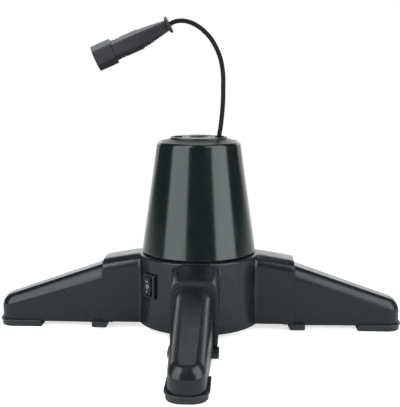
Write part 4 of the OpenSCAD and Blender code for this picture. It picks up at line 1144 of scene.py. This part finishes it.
class TREESTAND_OT_drum(bpy.types.Operator):
    """Makes the drum with its pierced plateau, the pole collar and the lead's clamp"""

    bl_idname = "treestand.drum"
    bl_label = "Drum"

    def execute(self, context):
        self.make_shell()
        self.make_adapter()
        self.make_clamp()
        return {"FINISHED"}

    def make_shell(self):
        foot_z, top_z, soft = DRUM_LOW.z, DRUM_HIGH.z, sizes().drum_edge_round
        foot_r = DRUM_HIGH.x + 0.6 * MM
        under_z, seat_z = top_z - PLATEAU_T, top_z - COLLAR_T
        cone = turned_shell(
            "drum_cone",
            [
                (foot_r - DRUM_WALL, foot_z, 0.3 * MM),
                (foot_r, foot_z, 0.8 * MM),
                (DRUM_TOP_R, DRUM_EDGE_Z, soft),
                (PLATEAU_R + 0.8 * MM, DRUM_EDGE_Z + DRUM_SHOULDER_RISE, 0.5 * MM),
                (PLATEAU_R - 0.4 * MM, DRUM_EDGE_Z + DRUM_SHOULDER_RISE + 0.1 * MM, 0),
                (PLATEAU_R - 2 * MM, under_z, 0),
                (DRUM_TOP_R - 2.6 * MM, DRUM_EDGE_Z - 3.4 * MM, 0),
            ],
            finish=finishes()["drum"],
        )
        outlines = [
            at_height(circle(radius, steps), 0)
            for radius, steps in ((PLATEAU_R, 144), (COLLAR_HOLE_R, 96))
        ]
        outlines += [kidney_outline(turn) for turn in SLOT_TURNS]
        points, edges = [], []
        for outline in outlines:
            edges += loop_edges(len(points), len(outline))
            points += outline
        plate = grown(
            "drum_plateau", points, edges, pierced_plate_tree,
            thickness=PLATEAU_T, height=under_z, finish=finishes()["drum"],
        )
        ledge = turned_shell(
            "drum_ledge",
            [
                (LEDGE_IN_R, under_z, 0), (LEDGE_OUT_R, under_z, 0),
                (LEDGE_OUT_R, seat_z, 0), (LEDGE_IN_R, seat_z, 0),
            ],
            finish=finishes()["drum"],
        )
        mesh = joined("drum_moulding", [cone, plate, ledge])
        piece(
            "drum_moulding", mesh, "drum", finishes()["drum"], ["drum_shell"],
            edge=0.45 * MM,
        )

    def make_adapter(self):
        top, low = ADAPTER_HIGH.z, ADAPTER_LOW.z
        sleeve_r, flange_r, bore_r = 16.7 * MM, 19 * MM, 10 * MM
        mesh = turned_shell(
            "pole_collar",
            [
                (bore_r, low, 0.5 * MM), (sleeve_r, low, 0.8 * MM),
                (sleeve_r, top - COLLAR_T, 0), (flange_r, top - COLLAR_T, 0.2 * MM),
                (flange_r, top, 0.6 * MM), (13.2 * MM, top, 0.5 * MM),
                (12.6 * MM, top - 0.7 * MM, 0.3 * MM),
                (bore_r + 0.9 * MM, top - 0.7 * MM, 0.6 * MM),
                (bore_r, top - 1.8 * MM, 0.4 * MM),
            ],
            finish=finishes()["drum"],
        )
        piece(
            "pole_collar", joined("pole_collar", [mesh]), "adapter", finishes()["drum"],
            ["pole_adapter"],
        )

    def make_clamp(self):
        low, high = CLAMP_LOW, CLAMP_HIGH
        middle_x, half_y, bore = low.x + 5 * MM, 4.4 * MM, 3.1 * MM
        parts = [
            box_mesh("clamp_side", (low.x, y0, low.z), (high.x, y1, high.z))
            for y0, y1 in ((low.y, -bore), (bore, high.y))
        ]
        parts += [
            box_mesh("clamp_web", (x0, -half_y, low.z), (x1, half_y, high.z))
            for x0, x1 in ((low.x, middle_x - bore), (middle_x + bore, high.x))
        ]
        piece(
            "clamp_block", joined("clamp_block", parts), "drum", finishes()["black"],
            ["lead_clamp"], edge=0.4 * MM,
        )


# ------------------------------------------------------------------ hub


def socket_ring(x, half_w, top_z, low_z, top_round, low_round, swell=None):
    """A section across a socket at x: a box with round shoulders. swell moves the mouth."""
    middle_z, half_h = (top_z + low_z) / 2, (top_z - low_z) / 2
    ring = []
    for y, z in softened(box_corners(half_w, low_z, top_z, low_round, top_round), 8):
        shift, inset = swell(z) if swell else (0.0, 0.0)
        if inset:
            y -= inset * max(-1.0, min(1.0, 1.3 * y / half_w))
            z -= inset * max(-1.0, min(1.0, 1.3 * (z - middle_z) / half_h))
        ring.append((x + shift, y, z))
    return ring


def socket_sleeve(name):
    """One leg socket along +X: round shoulders, a sloping top and a tunnel for the leg."""
    mouth = SOCKET_REACH

    def outside(x, top_z, half_w=SOCKET_HALF_W, top_round=SOCKET_ROUND, swell=None):
        return socket_ring(x, half_w, top_z, HUB_FOOT_Z, top_round, SOCKET_LOW_ROUND, swell)

    def top_at(x):
        return SOCKET_TOP_Z + (mouth - x) * SOCKET_SLOPE

    hub_r = (HUB_FOOT_R + HUB_RIM_R) / 2
    blend_y = SOCKET_HALF_W + SOCKET_BLEND_R
    blend_x = math.sqrt((hub_r + SOCKET_BLEND_R) ** 2 - blend_y**2)
    first_x = blend_x * hub_r / (hub_r + SOCKET_BLEND_R)
    rings = []
    for k in range(9):
        x = first_x + (blend_x - first_x) * k / 8
        flare = SOCKET_BLEND_R - math.sqrt(max(0.0, SOCKET_BLEND_R**2 - (blend_x - x) ** 2))
        top_z = min(top_at(x), HUB_HIGH.z - 0.9 * MM)
        rings.append(outside(x, top_z, SOCKET_HALF_W + flare, SOCKET_ROUND + 0.6 * flare))
    rings += [outside(x, top_at(x)) for x in (blend_x + 6 * MM, mouth - 14 * MM, mouth - 6 * MM)]
    for k in range(5):
        turn = math.pi / 2 * k / 4

        def swell(z, turn=turn):
            """Rounds the mouth, twice as much at its top as at its foot."""
            height = min(1.0, max(0.0, (z - SOCKET_TOP_Z + 26 * MM) / (22 * MM)))
            radius = MOUTH_ROUND * (1 + height)
            return -radius * (1 - math.sin(turn)), radius * (1 - math.cos(turn))

        rings.append(outside(mouth, SOCKET_TOP_Z, swell=swell))
    half_w, top_z = LEG_ROOT_HALF_W + TUNNEL_GAP, LEG_TOP_Z + TUNNEL_GAP
    rings += [
        socket_ring(x, half_w + grow, top_z + grow, TUNNEL_FLOOR_Z - grow, LEG_ROUND, 0.2 * MM)
        for x, grow in ((mouth, 0.1 * MM), (mouth - 0.3 * MM, 0), (86 * MM, 0))
    ]
    return ring_shell(name, rings)


class TREESTAND_OT_hub(bpy.types.Operator):
    """Makes the hub with its four sockets, and the cover under it"""

    bl_idname = "treestand.hub"
    bl_label = "Hub"

    def execute(self, context):
        finish = finishes()
        deck_z, boss_z = HUB_HIGH.z, HUB_HIGH.z - 10.2 * MM
        wall = turned_shell(
            "hub_wall",
            [
                (HUB_FOOT_R - HUB_WALL, HUB_FOOT_Z, 0.3 * MM),
                (HUB_FOOT_R, HUB_FOOT_Z, 0.8 * MM),
                (HUB_RIM_R, deck_z, sizes().hub_rim_round),
                (BUSH_R, deck_z, 0),
                (BUSH_R, boss_z, 0),
                (BUSH_R + 5 * MM, boss_z, 0),
                (BUSH_R + 5 * MM, deck_z - DECK_T, 0),
                (HUB_RIM_R - HUB_WALL, deck_z - DECK_T, 1 * MM),
            ],
            finish=finish["hub"],
        )
        parts = [wall, self.make_switch_pad()]
        for turn in LEG_TURNS.values():
            sleeve = joined("socket", [socket_sleeve("socket")], turn_about_z(turn))
            nib = box_mesh(
                "nib", (CATCH_LOW.x - 4.4 * MM, -NIB_HALF_W, HUB_LOW.z),
                (CATCH_LOW.x - 0.4 * MM, NIB_HALF_W, HUB_FOOT_Z + 1 * MM),
            )
            parts += [sleeve, joined("nib", [nib], turn_about_z(turn))]
        piece(
            "hub_moulding", joined("hub_moulding", parts), "base", finish["hub"],
            ["hub_housing"], sharp=28,
        )
        self.make_cover(finish["foot"])
        return {"FINISHED"}

    def make_switch_pad(self):
        """The flat pad behind the switch's frame."""
        pad_x = HUB_FOOT_R - 0.8 * MM
        half_w, half_h = SWITCH_W / 2 + 0.2 * MM, SWITCH_H / 2 + 0.2 * MM
        corners = box_corners(half_w, -half_h, half_h, 1.5 * MM, 1.5 * MM)
        rings = [
            [(x, y, z + SWITCH_Z) for y, z in softened(corners)] for x in (pad_x - 3 * MM, pad_x)
        ]
        return joined(
            "switch_pad", [ring_shell("switch_pad", rings)],
            Matrix.Rotation(SWITCH_TURN, 4, "Z"),
        )

    def make_cover(self, finish):
        low, radius = COVER_LOW.z, COVER_HIGH.x
        mesh = turned_shell(
            "base_cover",
            [
                (0, low + 0.6 * MM, 0), (52 * MM, low + 0.6 * MM, 0.3 * MM),
                (53 * MM, low, 0.3 * MM), (radius, low, 0.7 * MM),
                (radius, low + 2.5 * MM, 0.2 * MM), (0, low + 2.5 * MM, 0),
            ],
            finish=finish,
        )
        whole = bmesh.new()
        whole.from_mesh(mesh)
        bmesh.ops.remove_doubles(whole, verts=whole.verts, dist=MERGE_DISTANCE)
        bmesh.ops.dissolve_degenerate(whole, edges=whole.edges, dist=1e-7)
        whole.to_mesh(mesh)
        whole.free()
        piece(
            "base_cover", joined("base_cover", [mesh]), "base", finish, ["bottom_cover"],
        )


# ------------------------------------------------------------------ legs and feet


def taper_angle():
    run = LEG_TIP_X - LEG_CORNER_R - LEG_ROOT_X
    rise = LEG_ROOT_HALF_W - (LEG_TIP_HALF_W - LEG_CORNER_R)
    return math.acos(LEG_CORNER_R / math.hypot(rise, run)) - math.atan(run / rise)


def leg_outline(inset, root_x, nose=0.0, steps=12):
    """A leg in plan, moved inwards: from its root round the tip and back. nose pushes the tip."""
    taper = taper_angle()
    r = LEG_CORNER_R - inset
    corner_x, corner_y = LEG_TIP_X - LEG_CORNER_R + nose, LEG_TIP_HALF_W - LEG_CORNER_R
    tip = arc((corner_x, corner_y), r, 0.0, math.pi / 2 - taper, steps)
    touch_x, touch_y = tip[-1]
    sides = [
        (x, touch_y + (touch_x - x) * math.tan(taper))
        for x in (root_x + (touch_x - root_x) * k / 6 for k in range(6))
    ]
    return both_sides(tip + sides[::-1])


def crown_at(x):
    return LEG_TOP_Z - (x - SOCKET_REACH) * LEG_SLOPE


def leg_rings(inset, root_x, low_z, steps=9):
    """Rings from the lower edge of a leg's wall up to the edge of its flat crown."""
    across = LEG_ROUND_ACROSS - inset
    drop = inset * math.sqrt(1 + LEG_SLOPE**2)

    def tall(x):
        share = (x - LEG_ROOT_X) / (LEG_TIP_X - LEG_ROOT_X)
        return LEG_ROUND_ROOT + (LEG_ROUND_TIP - LEG_ROUND_ROOT) * share - inset

    rings = [at_height(leg_outline(inset, root_x), low_z)]
    first = LEG_CREASE
    for k in range(steps + 1):
        a = first + (math.pi / 2 - first) * k / steps
        inward = across * (1 - math.cos(a) / math.cos(first))
        below = (1 - math.sin(a)) / (1 - math.sin(first))
        outline = leg_outline(inset + inward, root_x, NOSE_SHARE * inward)
        rings.append([(x, y, crown_at(x) - drop - tall(x) * below) for x, y in outline])
    return rings


def leg_shell(name):
    """The hollow leg beyond its socket, open below, with a small round at its lower edge."""
    soft = 0.5 * MM
    outer = leg_rings(0, LEG_ROOT_X, LEG_LOW_Z + soft)
    inner = leg_rings(LEG_WALL, LEG_ROOT_X + LEG_WALL, LEG_LOW_Z + soft)
    edge = [
        at_height(leg_outline(LEG_WALL - soft, LEG_ROOT_X + LEG_WALL), LEG_LOW_Z),
        at_height(leg_outline(soft, LEG_ROOT_X), LEG_LOW_Z),
    ]
    return ring_shell(name, inner[::-1] + edge + outer)


def leg_stub(name):
    """The hollow stub that fills the socket's tunnel."""
    start_x, end_x = LEG_LOW.x, LEG_ROOT_X + 1 * MM
    soft = 0.6 * MM
    rings = [
        socket_ring(
            x, LEG_ROOT_HALF_W - inset, LEG_TOP_Z - inset, STUB_FLOOR_Z + inset,
            LEG_ROUND - inset, 0.4 * MM,
        )
        for x, inset in (
            (end_x, LEG_WALL), (start_x, LEG_WALL), (start_x, soft), (start_x + soft, 0),
            (end_x, 0),
        )
    ]
    return ring_shell(name, rings)


def foot_outline(inset, root_x, half_w, tip_x, corner_r, steps=12):
    """A foot in plan: square at its root, with round corners at its tip."""
    corner = (tip_x - corner_r, half_w - corner_r)
    tip = arc(corner, corner_r - inset, 0.0, math.pi / 2, steps)
    return both_sides([*tip, (root_x, half_w - inset)])


def foot_tray(name):
    """The foot: a slab with a lip round the leg's lower edge and a groove inside the lip."""
    root_x = FOOT_LOW.x

    def ring(inset, below_rim):
        outline = foot_outline(inset * MM, root_x, FOOT_HIGH.y, FOOT_HIGH.x, FOOT_CORNER_R)
        return at_height(outline, FOOT_RIM_Z - below_rim * MM)

    def groove(grow, below_rim):
        outline = foot_outline(
            0, root_x + (1.2 - grow) * MM, (21.2 + grow) * MM,
            LEG_TIP_X + grow * MM, LEG_CORNER_R + grow * MM,
        )
        return at_height(outline, FOOT_RIM_Z - below_rim * MM)

    rings = [ring(2.6, 9.3), ring(2.1, 9.15), ring(1.8, 8.7), ring(1.8, 3.4), ring(1.5, 2.9)]
    rings += [ring(0.5, 2.5), ring(0.15, 2.2), ring(0, 1.8), ring(0, 0.7), ring(0.2, 0.2)]
    rings += [ring(0.6, 0), groove(1.3, 0), groove(0.9, 0.2), groove(0.7, 0.8), groove(0.3, 1.0)]
    return ring_shell(name, rings)


def catch_plate(name):
    """The plate under a leg's root, with slanted inner end and ears past the socket."""
    x1, half_w, soft = CATCH_HIGH.x, CATCH_HIGH.y, 3 * MM
    rings = []
    for x0, z in ((CATCH_LOW.x + 3.9 * MM, CATCH_LOW.z), (CATCH_LOW.x, CATCH_HIGH.z)):
        corners = [
            (x0, -half_w, 0.8 * MM), (x1, -half_w, soft), (x1, half_w, soft),
            (x0, half_w, 0.8 * MM),
        ]
        rings.append(at_height(softened(corners), z))
    return ring_shell(name, rings)


class TREESTAND_OT_legs(bpy.types.Operator):
    """Makes the four legs with their feet and catches"""

    bl_idname = "treestand.legs"
    bl_label = "Legs and feet"

    def execute(self, context):
        finish = finishes()
        for side, turn in LEG_TURNS.items():
            place = turn_about_z(turn)
            body = side + "_leg_set"
            parts = [leg_shell("leg"), leg_stub("stub")]
            for x, half, apart, low in (
                (CATCH_SCREW_X, LEG_ROOT_HALF_W - 2 * MM, 14 * MM, LEG_LOW_Z),
                (FOOT_SCREW_X, LEG_TIP_HALF_W - 1.6 * MM, 10 * MM, FOOT_HIGH.z),
            ):
                for narrower, below in ((9 * MM, 4 * MM), (1.4 * MM, 20 * MM)):
                    parts.append(
                        box_mesh(
                            "rib", (x - 1.2 * MM, narrower - half, low + 6 * MM),
                            (x + 1.2 * MM, half - narrower, crown_at(x) - below),
                        )
                    )
                parts += [
                    tube_mesh("boss", (x, s * apart), low, low + 20 * MM, 4.2 * MM, 1.6 * MM)
                    for s in (-1, 1)
                ]
            piece(
                side + "_leg_moulding", joined("leg", parts, place), body, finish["hub"],
                [side + "_leg"], sharp=12.5,
            )
            piece(
                side + "_foot_tray", joined("foot", [foot_tray("foot")], place), body,
                finish["foot"], [side + "_foot"], sharp=50,
            )
            piece(
                side + "_catch_plate", joined("catch", [catch_plate("catch")], place), body,
                finish["foot"], [side + "_catch"], edge=0.6 * MM,
            )
        return {"FINISHED"}


# ------------------------------------------------------------------ switch and gland


def frame_ring(half_w, half_h, radius, x):
    corners = box_corners(half_w, -half_h, half_h, radius, radius)
    return [(x, y, z) for y, z in softened(corners, 4)]


class TREESTAND_OT_switch(bpy.types.Operator):
    """Makes the rocker switch with its frame and its three marks"""

    bl_idname = "treestand.switch"
    bl_label = "Switch"

    def execute(self, context):
        finish = finishes()
        place = Matrix.Translation((0, 0, SWITCH_Z)) @ Matrix.Rotation(SWITCH_TURN, 4, "Z")
        pad_x = self.hub_radius(SWITCH_Z - SWITCH_H / 2) + 0.2 * MM
        face_x = pad_x + FRAME_T
        half_w, half_h = SWITCH_W / 2, SWITCH_H / 2
        rings = [
            frame_ring(9 * MM, 13 * MM, 1 * MM, face_x - 24 * MM),
            frame_ring(9 * MM, 13 * MM, 1 * MM, pad_x - 0.2 * MM),
            frame_ring(half_w - 0.3 * MM, half_h - 0.3 * MM, 2 * MM, pad_x),
            frame_ring(half_w, half_h, 2 * MM, pad_x + 0.4 * MM),
            frame_ring(half_w, half_h, 2 * MM, face_x - 1.3 * MM),
            frame_ring(half_w - 0.4 * MM, half_h - 0.4 * MM, 2 * MM, face_x - 0.5 * MM),
            frame_ring(half_w - 1.3 * MM, half_h - 1.3 * MM, 1.6 * MM, face_x),
            frame_ring(8.2 * MM, 13.2 * MM, 0.8 * MM, face_x),
            frame_ring(7.6 * MM, 12.6 * MM, 0.6 * MM, face_x - 0.6 * MM),
            frame_ring(7.4 * MM, 12.6 * MM, 0.5 * MM, face_x - 9 * MM),
            frame_ring(7.4 * MM, 8.0 * MM, 0.5 * MM, face_x - 14 * MM),
        ]
        mesh = joined("switch_frame", [ring_shell("switch_frame", rings)], place)
        piece(
            "switch_frame", mesh, "base", finish["black"], ["switch_body"],
            sharp=40,
        )
        self.make_rocker(finish, place, face_x - ROCKER_AXIS_DEPTH)
        return {"FINISHED"}

    def hub_radius(self, z):
        share = (z - HUB_FOOT_Z) / (HUB_HIGH.z - HUB_FOOT_Z)
        return HUB_FOOT_R + (HUB_RIM_R - HUB_FOOT_R) * share

    def rocker_face(self, z):
        """Height of the rocker's dished face over its own axis."""
        share = min(1.0, abs(z) / (10.3 * MM))
        return (5.4 + 1.8 * share**1.5) * MM

    def make_rocker(self, finish, place, axis_x):
        half, soft = ROCKER_W / 2, 0.35 * MM
        heights = [(-10.2 + 20.4 * k / 16) * MM for k in range(17)]
        back = arc((0, 0), ROCKER_R, math.radians(55), math.radians(35), 8, 1)
        profile = [(self.rocker_face(z), z) for z in heights]
        profile += [*back, (0, 12 * MM), (-4 * MM, 6 * MM), (-4 * MM, -6 * MM), (0, -12 * MM)]
        profile += [(x, -z) for x, z in reversed(back)]
        rings = [
            [(axis_x + x * grow, y, z * grow) for x, z in profile]
            for y, grow in ((-half, 0.97), (-half + soft, 1), (half - soft, 1), (half, 0.97))
        ]
        mesh = joined("rocker_cap", [ring_shell("rocker_cap", rings)], place)
        piece(
            "rocker_cap", mesh, "rocker", finish["black"], ["switch_rocker"],
            sharp=40,
        )
        marks = self.make_marks(axis_x)
        piece(
            "rocker_marks", joined("rocker_marks", marks, place), "rocker", finish["mark"],
            (),
        )

    def make_marks(self, axis_x):
        """Raised strokes: two lines at the top, a ring in the middle and one line below."""
        line = sizes().mark_line
        rise = 0.22 * MM

        def stroke(y, z, half_w, half_h):
            x = axis_x + self.rocker_face(z)
            return box_mesh(
                "mark", (x - rise, y - half_w, z - half_h), (x + rise, y + half_w, z + half_h)
            )

        marks = [stroke(side * 1.3 * MM, 7 * MM, line / 2, 1.9 * MM) for side in (-1, 1)]
        marks.append(stroke(0, -7 * MM, line / 2, 1.7 * MM))
        outer, inner, face_x = 2.4 * MM, 2.4 * MM - line, axis_x + self.rocker_face(0)
        rings = [
            [(face_x + x, y, 1.15 * z) for y, z in circle(radius, 24)]
            for radius, x in ((inner, -rise), (outer, -rise), (outer, rise), (inner, rise))
        ]
        marks.append(ring_shell("mark", rings, closed=True))
        return marks


class TREESTAND_OT_gland(bpy.types.Operator):
    """Makes the cable gland at the back of the hub"""

    bl_idname = "treestand.gland"
    bl_label = "Cable gland"

    def execute(self, context):
        finish = finishes()["black"]
        turn = Matrix.Rotation(GLAND_TURN, 4, "Z")
        place = turn @ Matrix.Translation((0, 0, GLAND_Z)) @ Matrix.Rotation(math.pi / 2, 4, "Y")
        seat, bore = GLAND_SEAT, GLAND_BORE_R
        body = turned_shell(
            "gland",
            [
                (bore, seat - 11 * MM, 0), (5.95 * MM, seat - 11 * MM, 0.3 * MM),
                (5.95 * MM, seat, 0), (9 * MM, seat, 0.3 * MM), (9 * MM, seat + 3 * MM, 0.8 * MM),
                (7 * MM, seat + 3.2 * MM, 0), (5.2 * MM, seat + 11 * MM, 1 * MM),
                (bore, seat + 11 * MM, 0.6 * MM),
            ],
            steps=72,
            finish=finish,
        )
        piece(
            "gland_moulding", joined("gland", [body], place), "base", finish,
            ["cable_gland"],
        )
        return {"FINISHED"}


# ------------------------------------------------------------------ fasteners and bearing


def node_islands(node):
    """The separate solids of a CAD node, as (lowest corner, highest corner)."""
    whole = bmesh.new()
    whole.from_mesh(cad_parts[node].data)
    bmesh.ops.remove_doubles(whole, verts=whole.verts, dist=MERGE_DISTANCE)
    islands, seen = [], set()
    for start in whole.verts:
        if start in seen:
            continue
        stack, group = [start], []
        seen.add(start)
        while stack:
            vertex = stack.pop()
            group.append(vertex.co.copy())
            for edge in vertex.link_edges:
                other = edge.other_vert(vertex)
                if other not in seen:
                    seen.add(other)
                    stack.append(other)
        low = Vector(min(p[i] for p in group) for i in range(3))
        high = Vector(max(p[i] for p in group) for i in range(3))
        islands.append((low, high))
    whole.free()
    return islands


SCREW_SETS = {
    "cover_screws": "base",
    "contact_screws": "base",
    "right_screws": "right_leg_set",
    "back_screws": "back_leg_set",
    "left_screws": "left_leg_set",
    "front_screws": "front_leg_set",
}


class TREESTAND_OT_screws(bpy.types.Operator):
    """Makes the screws that show from below"""

    bl_idname = "treestand.screws"
    bl_label = "Screws"

    def execute(self, context):
        finish = finishes()["zinc"]
        for node, body in SCREW_SETS.items():
            by_length = {}
            for low, high in node_islands(node):
                length = round(high.z - low.z - HEAD_H, 5)
                centre = (low + high) / 2
                seat = Vector((centre.x, centre.y, low.z + HEAD_H))
                by_length.setdefault(length, []).append(seat)
            meshes = [
                grown(
                    node, seats, [], screw_tree, facings=[-UP] * len(seats),
                    shank_length=length, finish=finish,
                )
                for length, seats in by_length.items()
            ]
            piece(node + "_set", joined(node, meshes), body, finish, [node])
        return {"FINISHED"}


class TREESTAND_OT_bearing(bpy.types.Operator):
    """Makes the bearing balls between the hub and the drum"""

    bl_idname = "treestand.bearing"
    bl_label = "Bearing balls"

    def execute(self, context):
        finish = finishes()["steel"]
        islands = node_islands("bearing_balls")
        centres = [(low + high) / 2 for low, high in islands]
        mesh = grown(
            "bearing_ball_set", centres, [], ball_tree,
            ball_radius=(islands[0][1].z - islands[0][0].z) / 2, finish=finish,
        )
        piece(
            "bearing_ball_set", joined("bearing_ball_set", [mesh]), "ball_set", finish,
            ["bearing_balls"], sharp=60,
        )
        return {"FINISHED"}


# ------------------------------------------------------------------ finishes of carried nodes


CARRIED = {
    "nylon": ["spindle", "drive_gear", "slip_core", "pinion", "ball_cage"],
    "black": ["contact_block", "gland_nut", "pole_socket", "turntable"],
    "zinc": [
        "lower_race", "upper_race", "gear_motor", "motor_screws", "drum_screws",
        "socket_screws", "clamp_screws",
    ],
    "steel": ["motor_shaft", "grub_screws"],
    "brass": [
        "spindle_bush", "ring_contacts", "switch_terminals", "slip_rings", "connector_contacts",
    ],
    "lead": ["inner_lead"],
}


class TREESTAND_OT_finishes(bpy.types.Operator):
    """Gives every part that is carried over from the model its finish"""

    bl_idname = "treestand.finishes"
    bl_label = "Finishes"

    def execute(self, context):
        for name, nodes in CARRIED.items():
            for node in nodes:
                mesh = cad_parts[node].data
                mesh.materials.clear()
                mesh.materials.append(finishes()[name])
        bare = [
            name for name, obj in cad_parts.items()
            if not obj.hide_render and not any(name in nodes for nodes in CARRIED.values())
        ]
        if bare:
            raise RuntimeError(f"these nodes have no finish: {bare}")
        return {"FINISHED"}


# ------------------------------------------------------------------ panel and registration


OPERATORS = (
    TREESTAND_OT_stage,
    TREESTAND_OT_lead,
    TREESTAND_OT_drum,
    TREESTAND_OT_hub,
    TREESTAND_OT_legs,
    TREESTAND_OT_switch,
    TREESTAND_OT_gland,
    TREESTAND_OT_screws,
    TREESTAND_OT_bearing,
    TREESTAND_OT_finishes,
)


class TREESTAND_PT_panel(bpy.types.Panel):
    bl_idname = "TREESTAND_PT_panel"
    bl_label = "Tree stand"
    bl_space_type = "VIEW_3D"
    bl_region_type = "UI"
    bl_category = "Tree stand"

    def draw(self, context):
        layout = self.layout
        for group in ("tree_stand_sizes", "tree_stand_colours", "tree_stand_stage"):
            settings = getattr(context.scene, group)
            column = layout.column(align=True)
            for name in settings.bl_rna.properties.keys():
                if name not in ("rna_type", "name"):
                    column.prop(settings, name)
        for operator in OPERATORS:
            layout.operator(operator.bl_idname)


GROUPS = {
    "tree_stand_sizes": TreeStandSizes,
    "tree_stand_colours": TreeStandColours,
    "tree_stand_stage": TreeStandStage,
}


def register():
    for cls in (*GROUPS.values(), *OPERATORS, TREESTAND_PT_panel):
        bpy.utils.register_class(cls)
    for name, group in GROUPS.items():
        setattr(bpy.types.Scene, name, PointerProperty(type=group))


def unregister():
    for name in GROUPS:
        delattr(bpy.types.Scene, name)
    for cls in reversed((*GROUPS.values(), *OPERATORS, TREESTAND_PT_panel)):
        bpy.utils.unregister_class(cls)


def main():
    register()
    for operator in OPERATORS:
        group, name = operator.bl_idname.split(".")
        getattr(getattr(bpy.ops, group), name)()


if __name__ == "__main__":
    main()
